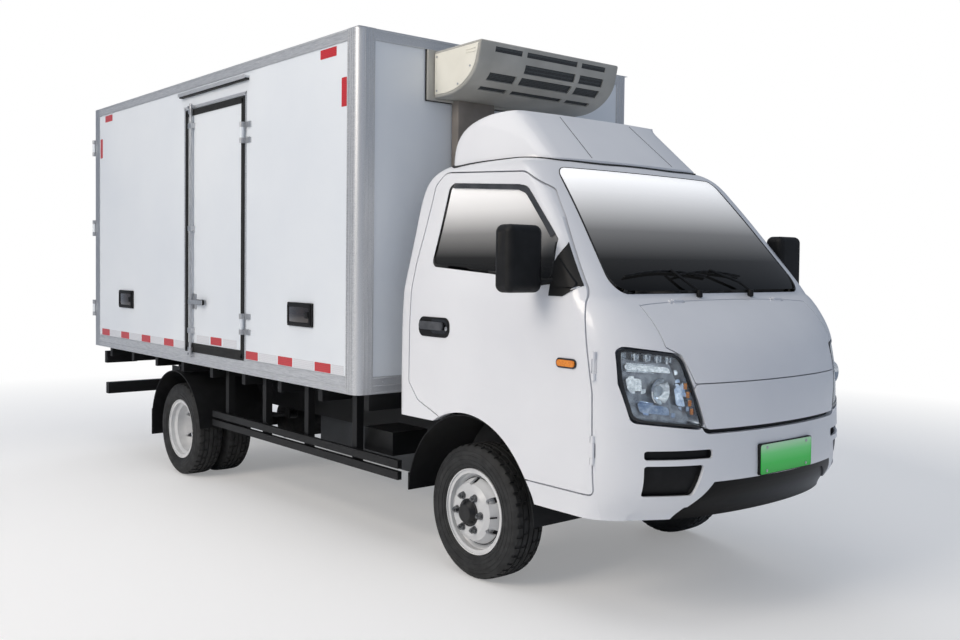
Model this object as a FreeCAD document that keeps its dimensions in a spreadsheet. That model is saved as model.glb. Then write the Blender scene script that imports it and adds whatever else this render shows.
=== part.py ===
"""Refrigerated light truck: two-axle chassis, short-nosed cab and an insulated cargo box, in millimetres.

+X points forwards, +Y to the vehicle's left and +Z up. Every piece is drawn with X measured from the front
axle, and its Placement then moves it so that the origin lies on the ground at the middle of the vehicle.
"""
import FreeCAD, Part
import math
import os
import re

from FreeCAD import Matrix, Placement, Rotation, Vector

DOC = FreeCAD.newDocument("refrigerated_truck")
SHEET = DOC.addObject("Spreadsheet::Sheet", "Sizes")

SIZES = {
    "stance": dict(
        wheelbase=3105, front_overhang=1208, front_track=1400, rear_track=1447,
        panel_seam=5, seat_gap=0.3, overrun=40, running_gap=6,
    ),
    "tyres and wheels": dict(
        tyre_radius=327, tyre_width=201, tyre_shoulder_radius=308, tyre_shoulder_width=176, tyre_tread_width=150,
        tyre_crown=4, sidewall_radius=262, bead_radius=190.5, rim_flange_radius=208, rim_width=140,
        rim_thickness=5, rim_lip=12, drop_centre_radius=172, drop_centre_width=68, bead_seat_width=22,
        disc_offset=108, disc_thickness=7, disc_pad_radius=112, disc_dome_radius=138, disc_foot_radius=156,
        disc_foot_depth=50, disc_joint_depth=84, hub_bore_radius=66, hand_hole_radius=16, hand_hole_circle=147,
        dual_spacing=225, hub_radius=58, hub_cap_radius=42, hub_cap_wall=10, hub_reach=30, drum_radius=134, drum_width=80,
        stub_radius=22, stub_clearance=0.05,
    ),
    "front axle": dict(
        axle_beam_height=62, axle_beam_width=56, axle_drop=62, axle_web=16, axle_flange=14, kingpin_radius=14,
        kingpin_offset=95, kingpin_boss_radius=30, kingpin_boss_height=76, beam_rise_length=110,
        knuckle_ear_thickness=22, knuckle_gap=0.3, knuckle_plate=20, backplate_radius=136, backplate_thickness=4,
        drum_gap=6, steer_arm_length=150, steer_arm_height=24, steer_arm_width=30, steer_arm_drop=0.3,
        tie_rod_radius=11, tie_rod_eye_radius=20, tie_rod_eye_height=26, tie_rod_pin_radius=8,
    ),
    "rear axle": dict(
        rear_tube_radius=42, banjo_radius=135, banjo_width=150, motor_radius=120, motor_length=320,
        motor_offset=150, rear_backplate_radius=136,
    ),
    "leaf springs": dict(
        spring_width=60, leaf_thickness=9, leaf_count=4, front_spring_length=1060, rear_spring_length=1180,
        front_spring_camber=62, rear_spring_camber=30, leaf_step_length=110, spring_eye_radius=22,
        spring_pad_height=18, spring_clamp_length=120, spring_clamp_thickness=12, front_spring_spacing=700,
        rear_spring_spacing=700, hanger_length=60, hanger_plate=8, hanger_pin=8, hanger_clearance=0.05,
        eye_bore=8.05,
    ),
    "ladder frame": dict(
        frame_width=740, rail_height=140, rail_flange=55, rail_wall=6, frame_top_height=640, frame_nose=1000,
        cross_member_width=90, cross_member_count=7, cab_mount_size=90, frame_tail_gap=110,
    ),
    "cargo box": dict(
        box_setback=658, box_length=3865, box_width=2060, box_bottom_height=836, box_height=1906,
        wall_thickness=80, floor_thickness=90, roof_thickness=80, trim_thickness=4, bottom_trim_height=92,
        top_trim_height=62, front_trim_width=104, corner_radius=45, drip_rail_length=970, drip_rail_depth=34,
        drip_rail_height=14, drip_rail_rise=100,
        portal_post=52, portal_depth=90, portal_header=82, portal_sill=84, rear_hardware_reach=60,
    ),
    "side door": dict(
        side_door_setback=1258, side_door_width=860, side_door_height=1625, side_door_sill=80, door_gap=6,
        lock_rod_radius=11, lock_rod_inset=120, lock_rod_standoff=20, lock_rod_overlap=34, lock_guide_length=46,
        lock_guide_height=34, lock_handle_length=210, lock_handle_height=30, lock_handle_thickness=14,
        lock_handle_share=0.2, hinge_height=64, hinge_strap_length=80, hinge_strap_thickness=8,
        hinge_pin_radius=7, hinge_barrel_radius=13, hinge_standoff=24, hinge_clearance=0.3,
        hinge_end_share=0.14, strap_thickness=8,
    ),
    "rear doors": dict(
        rear_hinge_overhang=16, rear_rod_inset=170,
    ),
    "vent hatches": dict(
        vent_width=272, vent_height=134, vent_thickness=14, vent_base_height=1166,
        front_vent_setback=436, rear_vent_inset=540,
    ),
    "refrigeration unit": dict(
        unit_width=1130, unit_depth=412, unit_height=252, unit_top_drop=58, unit_plate_width=1234,
        unit_plate_depth=22, slot_depth=26, slot_height=26, slot_gap=34,
        hose_cover_width=270, hose_cover_depth=58, hose_cover_offset=284, hose_cover_height=1300,
        evaporator_width=1100, evaporator_depth=520, evaporator_height=210, evaporator_drop=30,
    ),
    "cab body": dict(
        cab_half_width=862, cab_rear_setback=540, cab_bottom_height=465, cab_rear_bottom=748, cowl_height=1390,
        windscreen_top_height=2005, roof_rise=51, rear_corner=46, skin=16, glass=6, cab_wall=50,
        arch_radius=485, arch_height=330, cab_floor_height=680, cab_floor_thickness=20,
        seat_platform_height=905, platform_front=455, firewall_setback=800, hood_bay_front=960,
        bay_floor_height=740, tunnel_width=940,
    ),
    "cab openings": dict(
        door_front=842, door_rear=422, door_bottom=572, door_top=1985, door_leaf=12, door_rebate=18,
        door_lap=24, door_inner_lap=36, door_seam=7, door_corner=60,
        cab_hinge_radius=9, cab_hinge_pin=4, cab_hinge_length=60, cab_hinge_clearance=0.05, cab_hinge_room=14,
        screen_base_width=1420, screen_top_width=1176, screen_base_height=1404, screen_top_inset=22,
        screen_corner=70, hinge_leaf_height=90, hinge_leaf_depth=26, door_axis_gap=2,
    ),
    "cab fittings": dict(
        roof_drop=4, arch_offset=20, door_reach=560, glass_inset=4, low_hinge_height=760, high_hinge_height=1110,
        door_axis_inset=9, screen_start=280, nose_start=640, lamp_start=900, hood_rear=892, small_round=24, hood_high=1388,
        lamp_lean=44, lamp_drop=34, valance_share=0.35, bumper_start=858, fog_share=0.14, hood_skin=24,
        lamp_depth=90, lamp_recess=3, hood_hinge_height=1374, hood_hinge_length=60, hood_hinge_lug=12,
        hood_hinge_spread=380, hood_ear=14, hood_barrel=7, hood_pin=3, hood_lap=30, bay_rim=1040,
        bay_start=830, mirror_foot_x=590, mirror_foot_base=1432, mirror_arm_share=0.3, mirror_arm_rise=40,
        mirror_arm_start=760, fairing_round=40, nose_plate=12, nose_plate_half=420,
    ),
    "box fittings": dict(
        free_edge_taper=14, rear_hinge_offset=17, rear_hinge_side=6, rear_hinge_share=0.16, rear_taper=14,
        slot_rows=4, slot_start=0.16, slot_step=0.185, liner_outer=842, liner_low=360, fender_cut=60,
        column_length=330, wiper_near=-190, wiper_near_tip=-620, wiper_far=200, wiper_far_tip=-300,
        wiper_base_x=868, wiper_base_z=1400, wiper_tip_x=800, wiper_tip_z=1490,
    ),
    "cab front": dict(
        bumper_top=858, bumper_notch=845, bumper_side_top=862, notch_half_width=478, panel_gap=20,
        panel_top=1042, lamp_top=1192, lamp_bottom=852, lamp_outer=798, lamp_inner=486,
        hood_half_width=620, hood_front_half_width=522, hood_top=1362, valance_top=603,
        valance_half_width=362, valance_foot=500, valance_foot_half_width=735,
        fog_slot_top=768, fog_slot_bottom=730, fog_pocket_top=706, fog_pocket_bottom=578,
        fog_outer=728, fog_inner=452, fog_depth=40, plate_width=480, plate_height=140, plate_thickness=4,
        plate_base_height=632, plate_lift=10,
    ),
    "roof fairing": dict(
        fairing_base_height=2036, fairing_height=256, fairing_rear=340, fairing_front=318,
        fairing_half_width=692, fairing_skin=10, fairing_front_corner=560, fairing_foot=18,
    ),
    "mirrors": dict(
        mirror_x=530, mirror_y=990, mirror_bottom=1405, mirror_height=290, mirror_width=200, mirror_depth=110,
        mirror_corner=34, mirror_arm_radius=13, mirror_foot_length=150, mirror_foot_height=140,
        mirror_foot_thickness=14, mirror_glass_recess=6,
    ),
    "cab inside": dict(
        dash_depth=170, dash_height=290, dash_width=1440, dash_top=1345, dash_round=50,
        wheel_ring_radius=195, wheel_ring_thickness=14, wheel_x=410, driver_y=400, wheel_height=1290,
        wheel_tilt=48, wheel_hub_radius=48, wheel_hub_depth=40, wheel_spoke_width=34, wheel_spoke_thickness=12,
        column_radius=24, column_gap=6, seat_cushion_depth=480, seat_cushion_height=130,
        seat_back_height=560, seat_back_thickness=110, seat_back_lean=14, driver_seat_width=500,
        bench_width=790, bench_gap=80, seat_base_height=24, seat_front=190, seat_round=36,
    ),
    "under the body": dict(
        battery_length=1180, battery_width=560, battery_height=250, battery_setback=1060, battery_drop=470,
        service_box_length=270, service_box_width=230, service_box_height=125, service_box_bottom=498,
        service_box_front=650, service_box_outer=800,
        guard_length=2160, guard_front=465, guard_rail_height=42, guard_rail_gap=16, guard_rail_depth=26,
        guard_bottom=414, guard_offset=900, guard_post_width=44, guard_post_count=4, guard_post_inset=150,
        underrun_bottom=438, underrun_height=90, underrun_depth=60, underrun_width=1900, underrun_setback=12,
        underrun_post_width=60, underrun_post_offset=340,
        fender_radius=420, fender_thickness=6, fender_width=500, fender_outer=962, flap_bottom=236,
        flap_thickness=8, front_flap_bottom=362, liner_clearance=12, liner_thickness=5, liner_inner=470,
        lamp_bar_height=96, lamp_bar_depth=52, lamp_bar_width=250, lamp_bar_outer=960, lamp_bar_bottom=690,
        bearer_height=110, bearer_width=56, cross_bearer_height=86, cross_bearer_width=44,
        cross_bearer_length=1900, cross_bearer_count=9,
    ),
    "wipers": dict(
        wiper_radius=7, wiper_blade_length=560, wiper_arm_length=470, wiper_lift=10, wiper_pivot_radius=12,
    ),
}

row = 1
for group, cells in SIZES.items():
    SHEET.set(f"A{row}", group)
    row += 1
    for alias, value in cells.items():
        SHEET.set(f"A{row}", alias)
        SHEET.set(f"B{row}", str(value))
        SHEET.setAlias(f"B{row}", alias)
        row += 1
DOC.recompute()
ALIASES = {alias for cells in SIZES.values() for alias in cells}


class Cells:
    """Reads a size from the sheet by its alias."""

    def __getattr__(self, alias):
        return float(SHEET.get(alias))


s = Cells()
PIECES = []


def bound(text):
    """An expression with each alias pointed at the sheet."""
    return re.sub(r"[A-Za-z_]\w*", lambda m: "Sizes." + m[0] if m[0] in ALIASES else m[0], text)


def bind(thing, **sizes):
    """Ties properties of an object to expressions of the sheet's aliases."""
    for name, text in sizes.items():
        thing.setExpression(name.replace("_at_", ".").replace("__", "."), bound(text))
    return thing


def place(thing, at):
    for axis, text in zip("xyz", at):
        if text != "0":
            thing.setExpression(f"Placement.Base.{axis}", bound(text))
    return thing


def block(name, size, at):
    """A box of three bound sizes with its lowest corner at three bound places."""
    thing = DOC.addObject("Part::Box", name)
    for prop, text in zip(("Length", "Width", "Height"), size):
        thing.setExpression(prop, bound(text))
    return place(thing, at)


AXES = {"x": Rotation(Vector(0, 1, 0), 90), "y": Rotation(Vector(1, 0, 0), -90), "z": Rotation()}


def rod(name, radius, length, at, axis="z"):
    """A cylinder that starts at a bound place and runs along a positive axis."""
    thing = DOC.addObject("Part::Cylinder", name)
    thing.Placement = Placement(Vector(), AXES[axis])
    thing.setExpression("Radius", bound(radius))
    thing.setExpression("Height", bound(length))
    return place(thing, at)


def fuse(name, *parts):
    thing = DOC.addObject("Part::MultiFuse", name)
    thing.Shapes = list(parts)
    return thing


def cut(name, base, *tools):
    thing = DOC.addObject("Part::Cut", name)
    thing.Base = base
    thing.Tool = tools[0] if len(tools) == 1 else fuse(name + "_tools", *tools)
    return thing


def together(name, *parts):
    """Several separate solids as one object."""
    thing = DOC.addObject("Part::Compound", name)
    thing.Links = list(parts)
    return thing


def shaped(name, shape):
    """An object whose shape is made with Part's own functions from sizes of the sheet."""
    thing = DOC.addObject("Part::Feature", name)
    thing.Shape = shape
    return thing


def piece(label, thing):
    """Names a finished sub-part and moves it from the front axle's frame to the vehicle's own."""
    thing.Label = label
    middle = "(box_setback + box_length + rear_hardware_reach - front_overhang) / 2"
    thing.setExpression("Placement.Base.x", bound(middle))
    PIECES.append(thing)
    return thing


# Outlines

def rounded(points, radii, lift):
    """A closed wire through points, with each corner rounded by its radius; lift makes a 3-D point of two."""
    flat = [Vector(a, b, 0) for a, b in points]
    radii = radii if isinstance(radii, (list, tuple)) else [radii] * len(flat)
    count = len(flat)
    ends = []
    for i, corner in enumerate(flat):
        before = (flat[i - 1] - corner)
        after = (flat[(i + 1) % count] - corner)
        half = before.getAngle(after) / 2
        reach = min(radii[i] / math.tan(half), before.Length / 2, after.Length / 2)
        if reach * math.tan(half) < s.seat_gap:
            ends.append((corner, None, corner))
            continue
        before.normalize()
        after.normalize()
        start, stop = corner + before * reach, corner + after * reach
        bisector = before + after
        bisector.normalize()
        radius = reach * math.tan(half)
        centre = corner + bisector * (radius / math.sin(half))
        ends.append((start, centre - bisector * radius, stop))
    edges = []
    for i, (start, middle, stop) in enumerate(ends):
        if middle is not None:
            edges.append(Part.Arc(lift(start), lift(middle), lift(stop)).toShape())
        following = ends[(i + 1) % count][0]
        if (following - stop).Length > s.seat_gap / 10:
            edges.append(Part.makeLine(lift(stop), lift(following)))
    return Part.Wire(edges)


def prism_y(points, low, high, radii=0.0, grow=0.0):
    """An outline in X and Z, extruded along Y from low to high."""
    wire = rounded(points, radii, lambda p: Vector(p.x, low, p.y))
    if grow:
        wire = wire.makeOffset2D(grow)
    return Part.Face(wire).extrude(Vector(0, high - low, 0))


def prism_x(points, low, high, radii=0.0, grow=0.0):
    """An outline in Y and Z, extruded along X from low to high."""
    wire = rounded(points, radii, lambda p: Vector(low, p.x, p.y))
    if grow:
        wire = wire.makeOffset2D(grow)
    return Part.Face(wire).extrude(Vector(high - low, 0, 0))


def slab(x_range, y_range, z_range):
    """A plain box between three pairs of limits."""
    low = Vector(x_range[0], y_range[0], z_range[0])
    return Part.makeBox(x_range[1] - low.x, y_range[1] - low.y, z_range[1] - low.z, low)


def mirrored(shape):
    return shape.mirror(Vector(0, 0, 0), Vector(0, 1, 0))


def turned(points, centre):
    """A solid of revolution about the wheel axis: points are (distance outboard, radius)."""
    wire = Part.makePolygon([Vector(0, y, r) for y, r in points + points[:1]])
    solid = Part.Face(wire).revolve(Vector(0, 0, 0), Vector(0, 1, 0), 360)
    if solid.Volume < 0:
        solid.reverse()
    solid.translate(centre)
    return solid


# Wheels

def tyre_shape(centre):
    """One tyre: flat bead seat, bulged sidewalls and a crowned tread."""
    half = s.rim_width / 2 - s.seat_gap
    foot = s.rim_flange_radius + s.seat_gap
    shoulder = s.tyre_shoulder_width / 2
    edge = Vector(0, s.tyre_tread_width / 2, s.tyre_radius - s.tyre_crown)
    def point(y, r):
        return Vector(0, y, r)
    def other(p):
        return Vector(0, -p.y, p.z)
    bead, heel = point(half, s.bead_radius + s.seat_gap), point(half, foot)
    bulge, turn = point(s.tyre_width / 2, s.sidewall_radius), point(shoulder, s.tyre_shoulder_radius)
    edges = [
        Part.makeLine(other(bead), bead),
        Part.makeLine(bead, heel),
        Part.Arc(heel, bulge, turn).toShape(),
        Part.makeLine(turn, edge),
        Part.Arc(edge, point(0, s.tyre_radius), other(edge)).toShape(),
        Part.makeLine(other(edge), other(turn)),
        Part.Arc(other(turn), other(bulge), other(heel)).toShape(),
        Part.makeLine(other(heel), other(bead)),
    ]
    solid = Part.Face(Part.Wire(edges)).revolve(Vector(0, 0, 0), Vector(0, 1, 0), 360)
    solid.translate(centre)
    return solid


def rim_shape(centre, outboard):
    """A pressed steel wheel: drop-centre barrel and a domed disc whose pad lies outboard (+1) or inboard (-1)."""
    half, lip, wall = s.rim_width / 2, s.rim_lip, s.rim_thickness
    seat, well = half - s.bead_seat_width, s.drop_centre_width / 2
    outer = [
        (half + lip, s.rim_flange_radius), (half, s.rim_flange_radius), (half, s.bead_radius),
        (seat, s.bead_radius), (well, s.drop_centre_radius),
    ]
    inner = [
        (well, s.drop_centre_radius - wall), (seat, s.bead_radius - wall), (half + wall, s.bead_radius - wall),
        (half + wall, s.rim_flange_radius - wall), (half + lip, s.rim_flange_radius - wall),
    ]
    barrel = turned(outer + [(-y, r) for y, r in outer[::-1]] + [(-y, r) for y, r in inner[::-1]] + inner, centre)
    pad, plate = s.disc_offset, s.disc_thickness
    joint = s.drop_centre_radius - wall
    crown = pad - plate * 2
    foot = pad - s.disc_foot_depth
    root = pad - s.disc_joint_depth
    disc = [
        (pad, s.hub_bore_radius), (pad, s.disc_pad_radius), (crown, s.disc_dome_radius), (foot, s.disc_foot_radius),
        (root, joint), (root - plate * 2, joint), (foot - plate, s.disc_foot_radius - plate),
        (crown - plate, s.disc_dome_radius - plate), (pad - plate, s.disc_pad_radius - plate / 2),
        (pad - plate, s.hub_bore_radius),
    ]
    dish = turned([(outboard * y, r) for y, r in disc], centre)
    holes = []
    for i in range(6):
        angle = math.radians(60 * i + 30)
        at = centre + Vector(s.hand_hole_circle * math.cos(angle), -pad, s.hand_hole_circle * math.sin(angle))
        holes.append(Part.makeCylinder(s.hand_hole_radius, 2 * pad, at, Vector(0, 1, 0)))
    return barrel.fuse(dish.cut(holes))


def hub_shape(centre, face, drum_end, bore, reach):
    """Hub, cap and brake drum on the wheel's inner side, bored for the stub axle; all distances outboard."""
    drum_start, cap = drum_end - s.drum_width, face + reach
    rounds = [
        (drum_start, bore), (drum_start, s.drum_radius), (drum_end, s.drum_radius),
        (drum_end, s.hub_bore_radius), (face, s.hub_bore_radius), (face, s.hub_radius),
        (cap, s.hub_cap_radius), (cap, 0), (cap - s.hub_cap_wall, 0), (cap - s.hub_cap_wall, bore),
    ]
    return turned(rounds, centre)


def front_wheel():
    """Tyre and rim of the left front wheel; the stub axle ends inside the hub's cap."""
    middle = Vector(0, s.front_track / 2, s.tyre_radius)
    drum_end = s.disc_offset - 4 * s.disc_thickness
    hub = hub_shape(middle, s.disc_offset, drum_end, s.stub_radius + s.stub_clearance, s.hub_reach)
    return tyre_shape(middle), rim_shape(middle, 1).fuse(hub)


def rear_wheel():
    """Twin tyres and rims of the left rear wheel, bolted back to back on one hub."""
    x = -s.wheelbase
    spread = s.dual_spacing / 2
    outer = Vector(x, s.rear_track / 2 + spread, s.tyre_radius)
    inner = Vector(x, s.rear_track / 2 - spread, s.tyre_radius)
    between = spread - s.disc_offset
    middle = Vector(x, s.rear_track / 2, s.tyre_radius)
    drum_end = -between - 4 * s.disc_thickness
    flange = turned([
        (-between, s.hub_bore_radius - s.rim_thickness), (-between, s.disc_pad_radius - s.rim_lip),
        (between, s.disc_pad_radius - s.rim_lip), (between, s.hub_bore_radius - s.rim_thickness),
    ], middle)
    hub = hub_shape(middle, between + s.disc_thickness, drum_end, s.stub_radius + s.stub_clearance, 2 * s.hub_reach)
    rims = rim_shape(outer, -1).fuse([rim_shape(inner, 1), flange, hub])
    return Part.makeCompound([tyre_shape(outer), tyre_shape(inner)]), rims


def wheels():
    for place_name, made in (("front", front_wheel()), ("rear", rear_wheel())):
        for kind, shape in zip(("tyre", "rim"), made):
            piece(f"{kind}_{place_name}_left", shaped(f"{place_name}_{kind}_l", shape))
            piece(f"{kind}_{place_name}_right", shaped(f"{place_name}_{kind}_r", mirrored(shape)))


# Axles, springs and steering

def front_axle():
    """Dropped I-beam with a boss and a kingpin at each end."""
    kingpin = s.front_track / 2 - s.kingpin_offset
    z, low = s.tyre_radius, s.tyre_radius - s.axle_drop
    half, neck = s.axle_beam_height / 2, kingpin - 2 * s.kingpin_boss_radius
    knee = neck - s.beam_rise_length
    outline = [
        (-kingpin, z - half), (-neck, z - half), (-knee, low - half), (knee, low - half), (neck, z - half),
        (kingpin, z - half), (kingpin, z + half), (neck, z + half), (knee, low + half), (-knee, low + half),
        (-neck, z + half), (-kingpin, z + half),
    ]
    width = s.axle_beam_width / 2
    beam = prism_x(outline, -width, width)
    groove = [
        (-knee, low - half + s.axle_flange), (knee, low - half + s.axle_flange),
        (knee, low + half - s.axle_flange), (-knee, low + half - s.axle_flange),
    ]
    web = s.axle_web / 2
    beam = beam.cut([prism_x(groove, web, width), prism_x(groove, -width, -web)])
    parts = []
    for side in (1, -1):
        y, boss = side * kingpin, s.kingpin_boss_height / 2
        parts.append(Part.makeCylinder(s.kingpin_boss_radius, 2 * boss, Vector(0, y, z - boss)))
        reach = boss + s.knuckle_gap + s.knuckle_ear_thickness
        parts.append(Part.makeCylinder(s.kingpin_radius, 2 * reach, Vector(0, y, z - reach)))
    beam = beam.fuse(parts)
    return piece("front_axle", shaped("front_axle_beam", beam))


def knuckle():
    """Left steering knuckle: fork round the axle's boss, stub axle, brake backplate and steering arm."""
    kingpin, z = s.front_track / 2 - s.kingpin_offset, s.tyre_radius
    ear, boss = s.knuckle_ear_thickness, s.kingpin_boss_height / 2 + s.knuckle_gap
    radius = s.kingpin_boss_radius
    drum = s.front_track / 2 + s.disc_offset - 4 * s.disc_thickness - s.drum_width
    plate = drum - s.drum_gap - s.backplate_thickness
    fork_end = plate
    fork_start = kingpin + radius + s.running_gap
    parts = [slab((-radius, radius), (fork_start, fork_end), (z - boss - ear, z + boss + ear))]
    for low in (z + boss, z - boss - ear):
        parts.append(Part.makeCylinder(radius, ear, Vector(0, kingpin, low)))
        parts.append(slab((-radius, radius), (kingpin, fork_end), (low, low + ear)))
    parts.append(Part.makeCylinder(s.backplate_radius, s.backplate_thickness, Vector(0, plate, z), Vector(0, 1, 0)))
    stub_end = s.front_track / 2 + s.disc_offset + s.hub_reach - s.hub_cap_wall - s.seat_gap
    parts.append(Part.makeCylinder(s.stub_radius, stub_end - plate, Vector(0, plate, z), Vector(0, 1, 0)))
    low, arm = z - boss - ear, s.steer_arm_width / 2
    parts.append(slab((-s.steer_arm_length, 0), (kingpin - arm, kingpin + arm), (low, low + ear)))
    parts.append(Part.makeCylinder(s.tie_rod_eye_radius, ear, Vector(-s.steer_arm_length, kingpin, low)))
    solid = parts[0].fuse(parts[1:])
    bore = s.kingpin_radius + s.stub_clearance
    holes = [Part.makeCylinder(bore, s.overrun * 6, Vector(0, kingpin, z - 3 * s.overrun))]
    bore = s.tie_rod_pin_radius + s.stub_clearance
    holes.append(Part.makeCylinder(bore, s.overrun * 6, Vector(-s.steer_arm_length, kingpin, z - 3 * s.overrun)))
    solid = solid.cut(holes)
    piece("knuckle_left", shaped("knuckle_l", solid))
    piece("knuckle_right", shaped("knuckle_r", mirrored(solid)))


def tie_rod():
    """Track rod with an eye and a pin under each steering arm."""
    x, y = "-steer_arm_length", "(front_track / 2 - kingpin_offset)"
    low = "(tyre_radius - kingpin_boss_height / 2 - knuckle_gap - knuckle_ear_thickness)"
    base = f"({low} - steer_arm_drop - tie_rod_eye_height)"
    middle = f"({base} + tie_rod_eye_height / 2)"
    parts = [rod("track_rod_tube", "tie_rod_radius", f"2 * {y}", (x, f"-{y}", middle), "y")]
    for side, sign in (("l", ""), ("r", "-")):
        parts.append(rod(f"track_eye_{side}", "tie_rod_eye_radius", "tie_rod_eye_height", (x, sign + y, base)))
        reach = "tie_rod_eye_height + steer_arm_drop + knuckle_ear_thickness"
        parts.append(rod(f"track_pin_{side}", "tie_rod_pin_radius", reach, (x, sign + y, base)))
    return piece("tie_rod", fuse("track_rod", *parts))


def rear_axle():
    """Banjo axle with a coaxial drive motor, spring pads and a backplate at each end."""
    x, z = "-wheelbase", "tyre_radius"
    inner = "(rear_track / 2 - dual_spacing / 2 + disc_offset - 4 * disc_thickness - drum_width)"
    plate = f"({inner} - drum_gap - backplate_thickness)"
    stub = "(rear_track / 2 + dual_spacing / 2 - disc_offset + disc_thickness + 2 * hub_reach - hub_cap_wall - seat_gap)"
    parts = [
        rod("rear_tube", "rear_tube_radius", f"2 * {plate}", (x, f"-{plate}", z), "y"),
        rod("rear_stub", "stub_radius", f"2 * {stub}", (x, f"-{stub}", z), "y"),
        rod("banjo", "banjo_radius", "banjo_width", (x, "-banjo_width / 2", z), "y"),
        rod("motor", "motor_radius", "motor_length", (f"{x} + motor_offset", "-motor_length / 2", z), "y"),
    ]
    for side, at in (("l", plate), ("r", f"-{plate} - backplate_thickness")):
        parts.append(rod(f"backplate_{side}", "rear_backplate_radius", "backplate_thickness", (x, at, z), "y"))
    for side, at in (("l", "rear_spring_spacing / 2"), ("r", "-rear_spring_spacing / 2")):
        size = ("spring_clamp_length", "spring_width", "rear_tube_radius + spring_pad_height")
        parts.append(block(f"pad_{side}", size, (f"{x} - spring_clamp_length / 2", f"{at} - spring_width / 2", z)))
    return piece("rear_axle", fuse("rear_axle_all", *parts))


def leaf_pack(x, y, base, length, camber):
    """A stack of leaves, longest on top, with an eye at each end of the longest."""
    low, high = y - s.spring_width / 2, y + s.spring_width / 2
    solids, count, eyes = [], int(s.leaf_count), []
    for i in range(count):
        half = length / 2 - s.leaf_step_length * (count - 1 - i)
        rise = camber * (2 * half / length) ** 2
        bottom = base + i * s.leaf_thickness
        def bow(level, back):
            points = [Vector(x - half, low, level + rise), Vector(x, low, level), Vector(x + half, low, level + rise)]
            return Part.Arc(*(points[::-1] if back else points)).toShape()
        under, over = bow(bottom, False), bow(bottom + s.leaf_thickness, True)
        ends = [
            Part.makeLine(under.Vertexes[-1].Point, over.Vertexes[0].Point),
            Part.makeLine(over.Vertexes[-1].Point, under.Vertexes[0].Point),
        ]
        wire = Part.Wire([under, ends[0], over, ends[1]])
        solids.append(Part.Face(wire).extrude(Vector(0, high - low, 0)))
    level = base + (count - 1) * s.leaf_thickness + s.leaf_thickness / 2 + camber
    for end in (-1, 1):
        at = Vector(x + end * length / 2, low, level)
        solids.append(Part.makeCylinder(s.spring_eye_radius, high - low, at, Vector(0, 1, 0)))
        eyes.append(Part.makeCylinder(s.eye_bore, high - low, at, Vector(0, 1, 0)))
    return solids[0].fuse(solids[1:]).cut(eyes), level


def springs():
    """Four leaf packs; returns where the frame's hangers go as (x, y, height of the eye)."""
    packs, eyes = [], []
    front_base = s.tyre_radius - s.axle_drop + s.axle_beam_height / 2
    rear_base = s.tyre_radius + s.rear_tube_radius + s.spring_pad_height
    rows = (
        (0, s.front_spring_spacing / 2, front_base, s.front_spring_length, s.front_spring_camber),
        (-s.wheelbase, s.rear_spring_spacing / 2, rear_base, s.rear_spring_length, s.rear_spring_camber),
    )
    for x, y, base, length, camber in rows:
        pack, level = leaf_pack(x, y, base, length, camber)
        packs += [pack, mirrored(pack)]
        eyes += [(x + end * length / 2, side * y, level) for end in (-1, 1) for side in (-1, 1)]
    piece("leaf_springs", shaped("spring_packs", Part.makeCompound(packs)))
    return eyes


def chassis_frame(eyes):
    """Two channel rails with cross members, spring hangers and cab mounts."""
    top, bottom = s.frame_top_height, s.frame_top_height - s.rail_height
    outer, wall = s.frame_width / 2, s.rail_wall
    tail = -(s.box_setback + s.box_length - s.frame_tail_gap)
    channel = slab((tail, s.frame_nose), (outer - s.rail_flange, outer), (bottom, top))
    hollow = (outer - s.rail_flange - s.overrun, outer - wall)
    channel = channel.cut(slab((tail - s.overrun, s.frame_nose + s.overrun), hollow, (bottom + wall, top - wall)))
    parts = [channel, mirrored(channel)]
    count = int(s.cross_member_count)
    for i in range(count):
        x = tail + (s.frame_nose - tail - s.cross_member_width) * i / (count - 1)
        span = (x, x + s.cross_member_width)
        beam = slab(span, (-outer + wall, outer - wall), (bottom + wall, top - wall))
        inner = slab((span[0] + wall, span[1] - wall), (-outer, outer), (bottom, top - 2 * wall))
        parts.append(beam.cut(inner))
    half, plate = s.spring_width / 2, s.hanger_plate
    for x, y, level in eyes:
        reach = s.hanger_length / 2
        for start in (y - half - s.seat_gap - plate, y + half + s.seat_gap):
            parts.append(slab((x - reach, x + reach), (start, start + plate), (level - reach / 2, bottom)))
        cap = (y - half - s.seat_gap - plate, y + half + s.seat_gap + plate)
        parts.append(slab((x - reach, x + reach), cap, (bottom - plate, bottom)))
        parts.append(Part.makeCylinder(s.hanger_pin, cap[1] - cap[0], Vector(x, cap[0], level), Vector(0, 1, 0)))
    size = s.cab_mount_size
    for x in (s.platform_front + size, -s.cab_rear_setback + size):
        for y in (-outer, outer - size):
            mount = (s.frame_top_height, s.cab_floor_height - s.cab_floor_thickness)
            if x < 0:
                mount = (s.frame_top_height, s.seat_platform_height - s.cab_floor_thickness)
            parts.append(slab((x, x + size), (y, y + size), mount))
    nose = s.nose_plate
    parts.append(slab((s.frame_nose, s.frame_nose + nose), (-s.nose_plate_half, s.nose_plate_half), (bottom, top)))
    piece("chassis_frame", shaped("ladder_frame", parts[0].fuse(parts[1:])))


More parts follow.
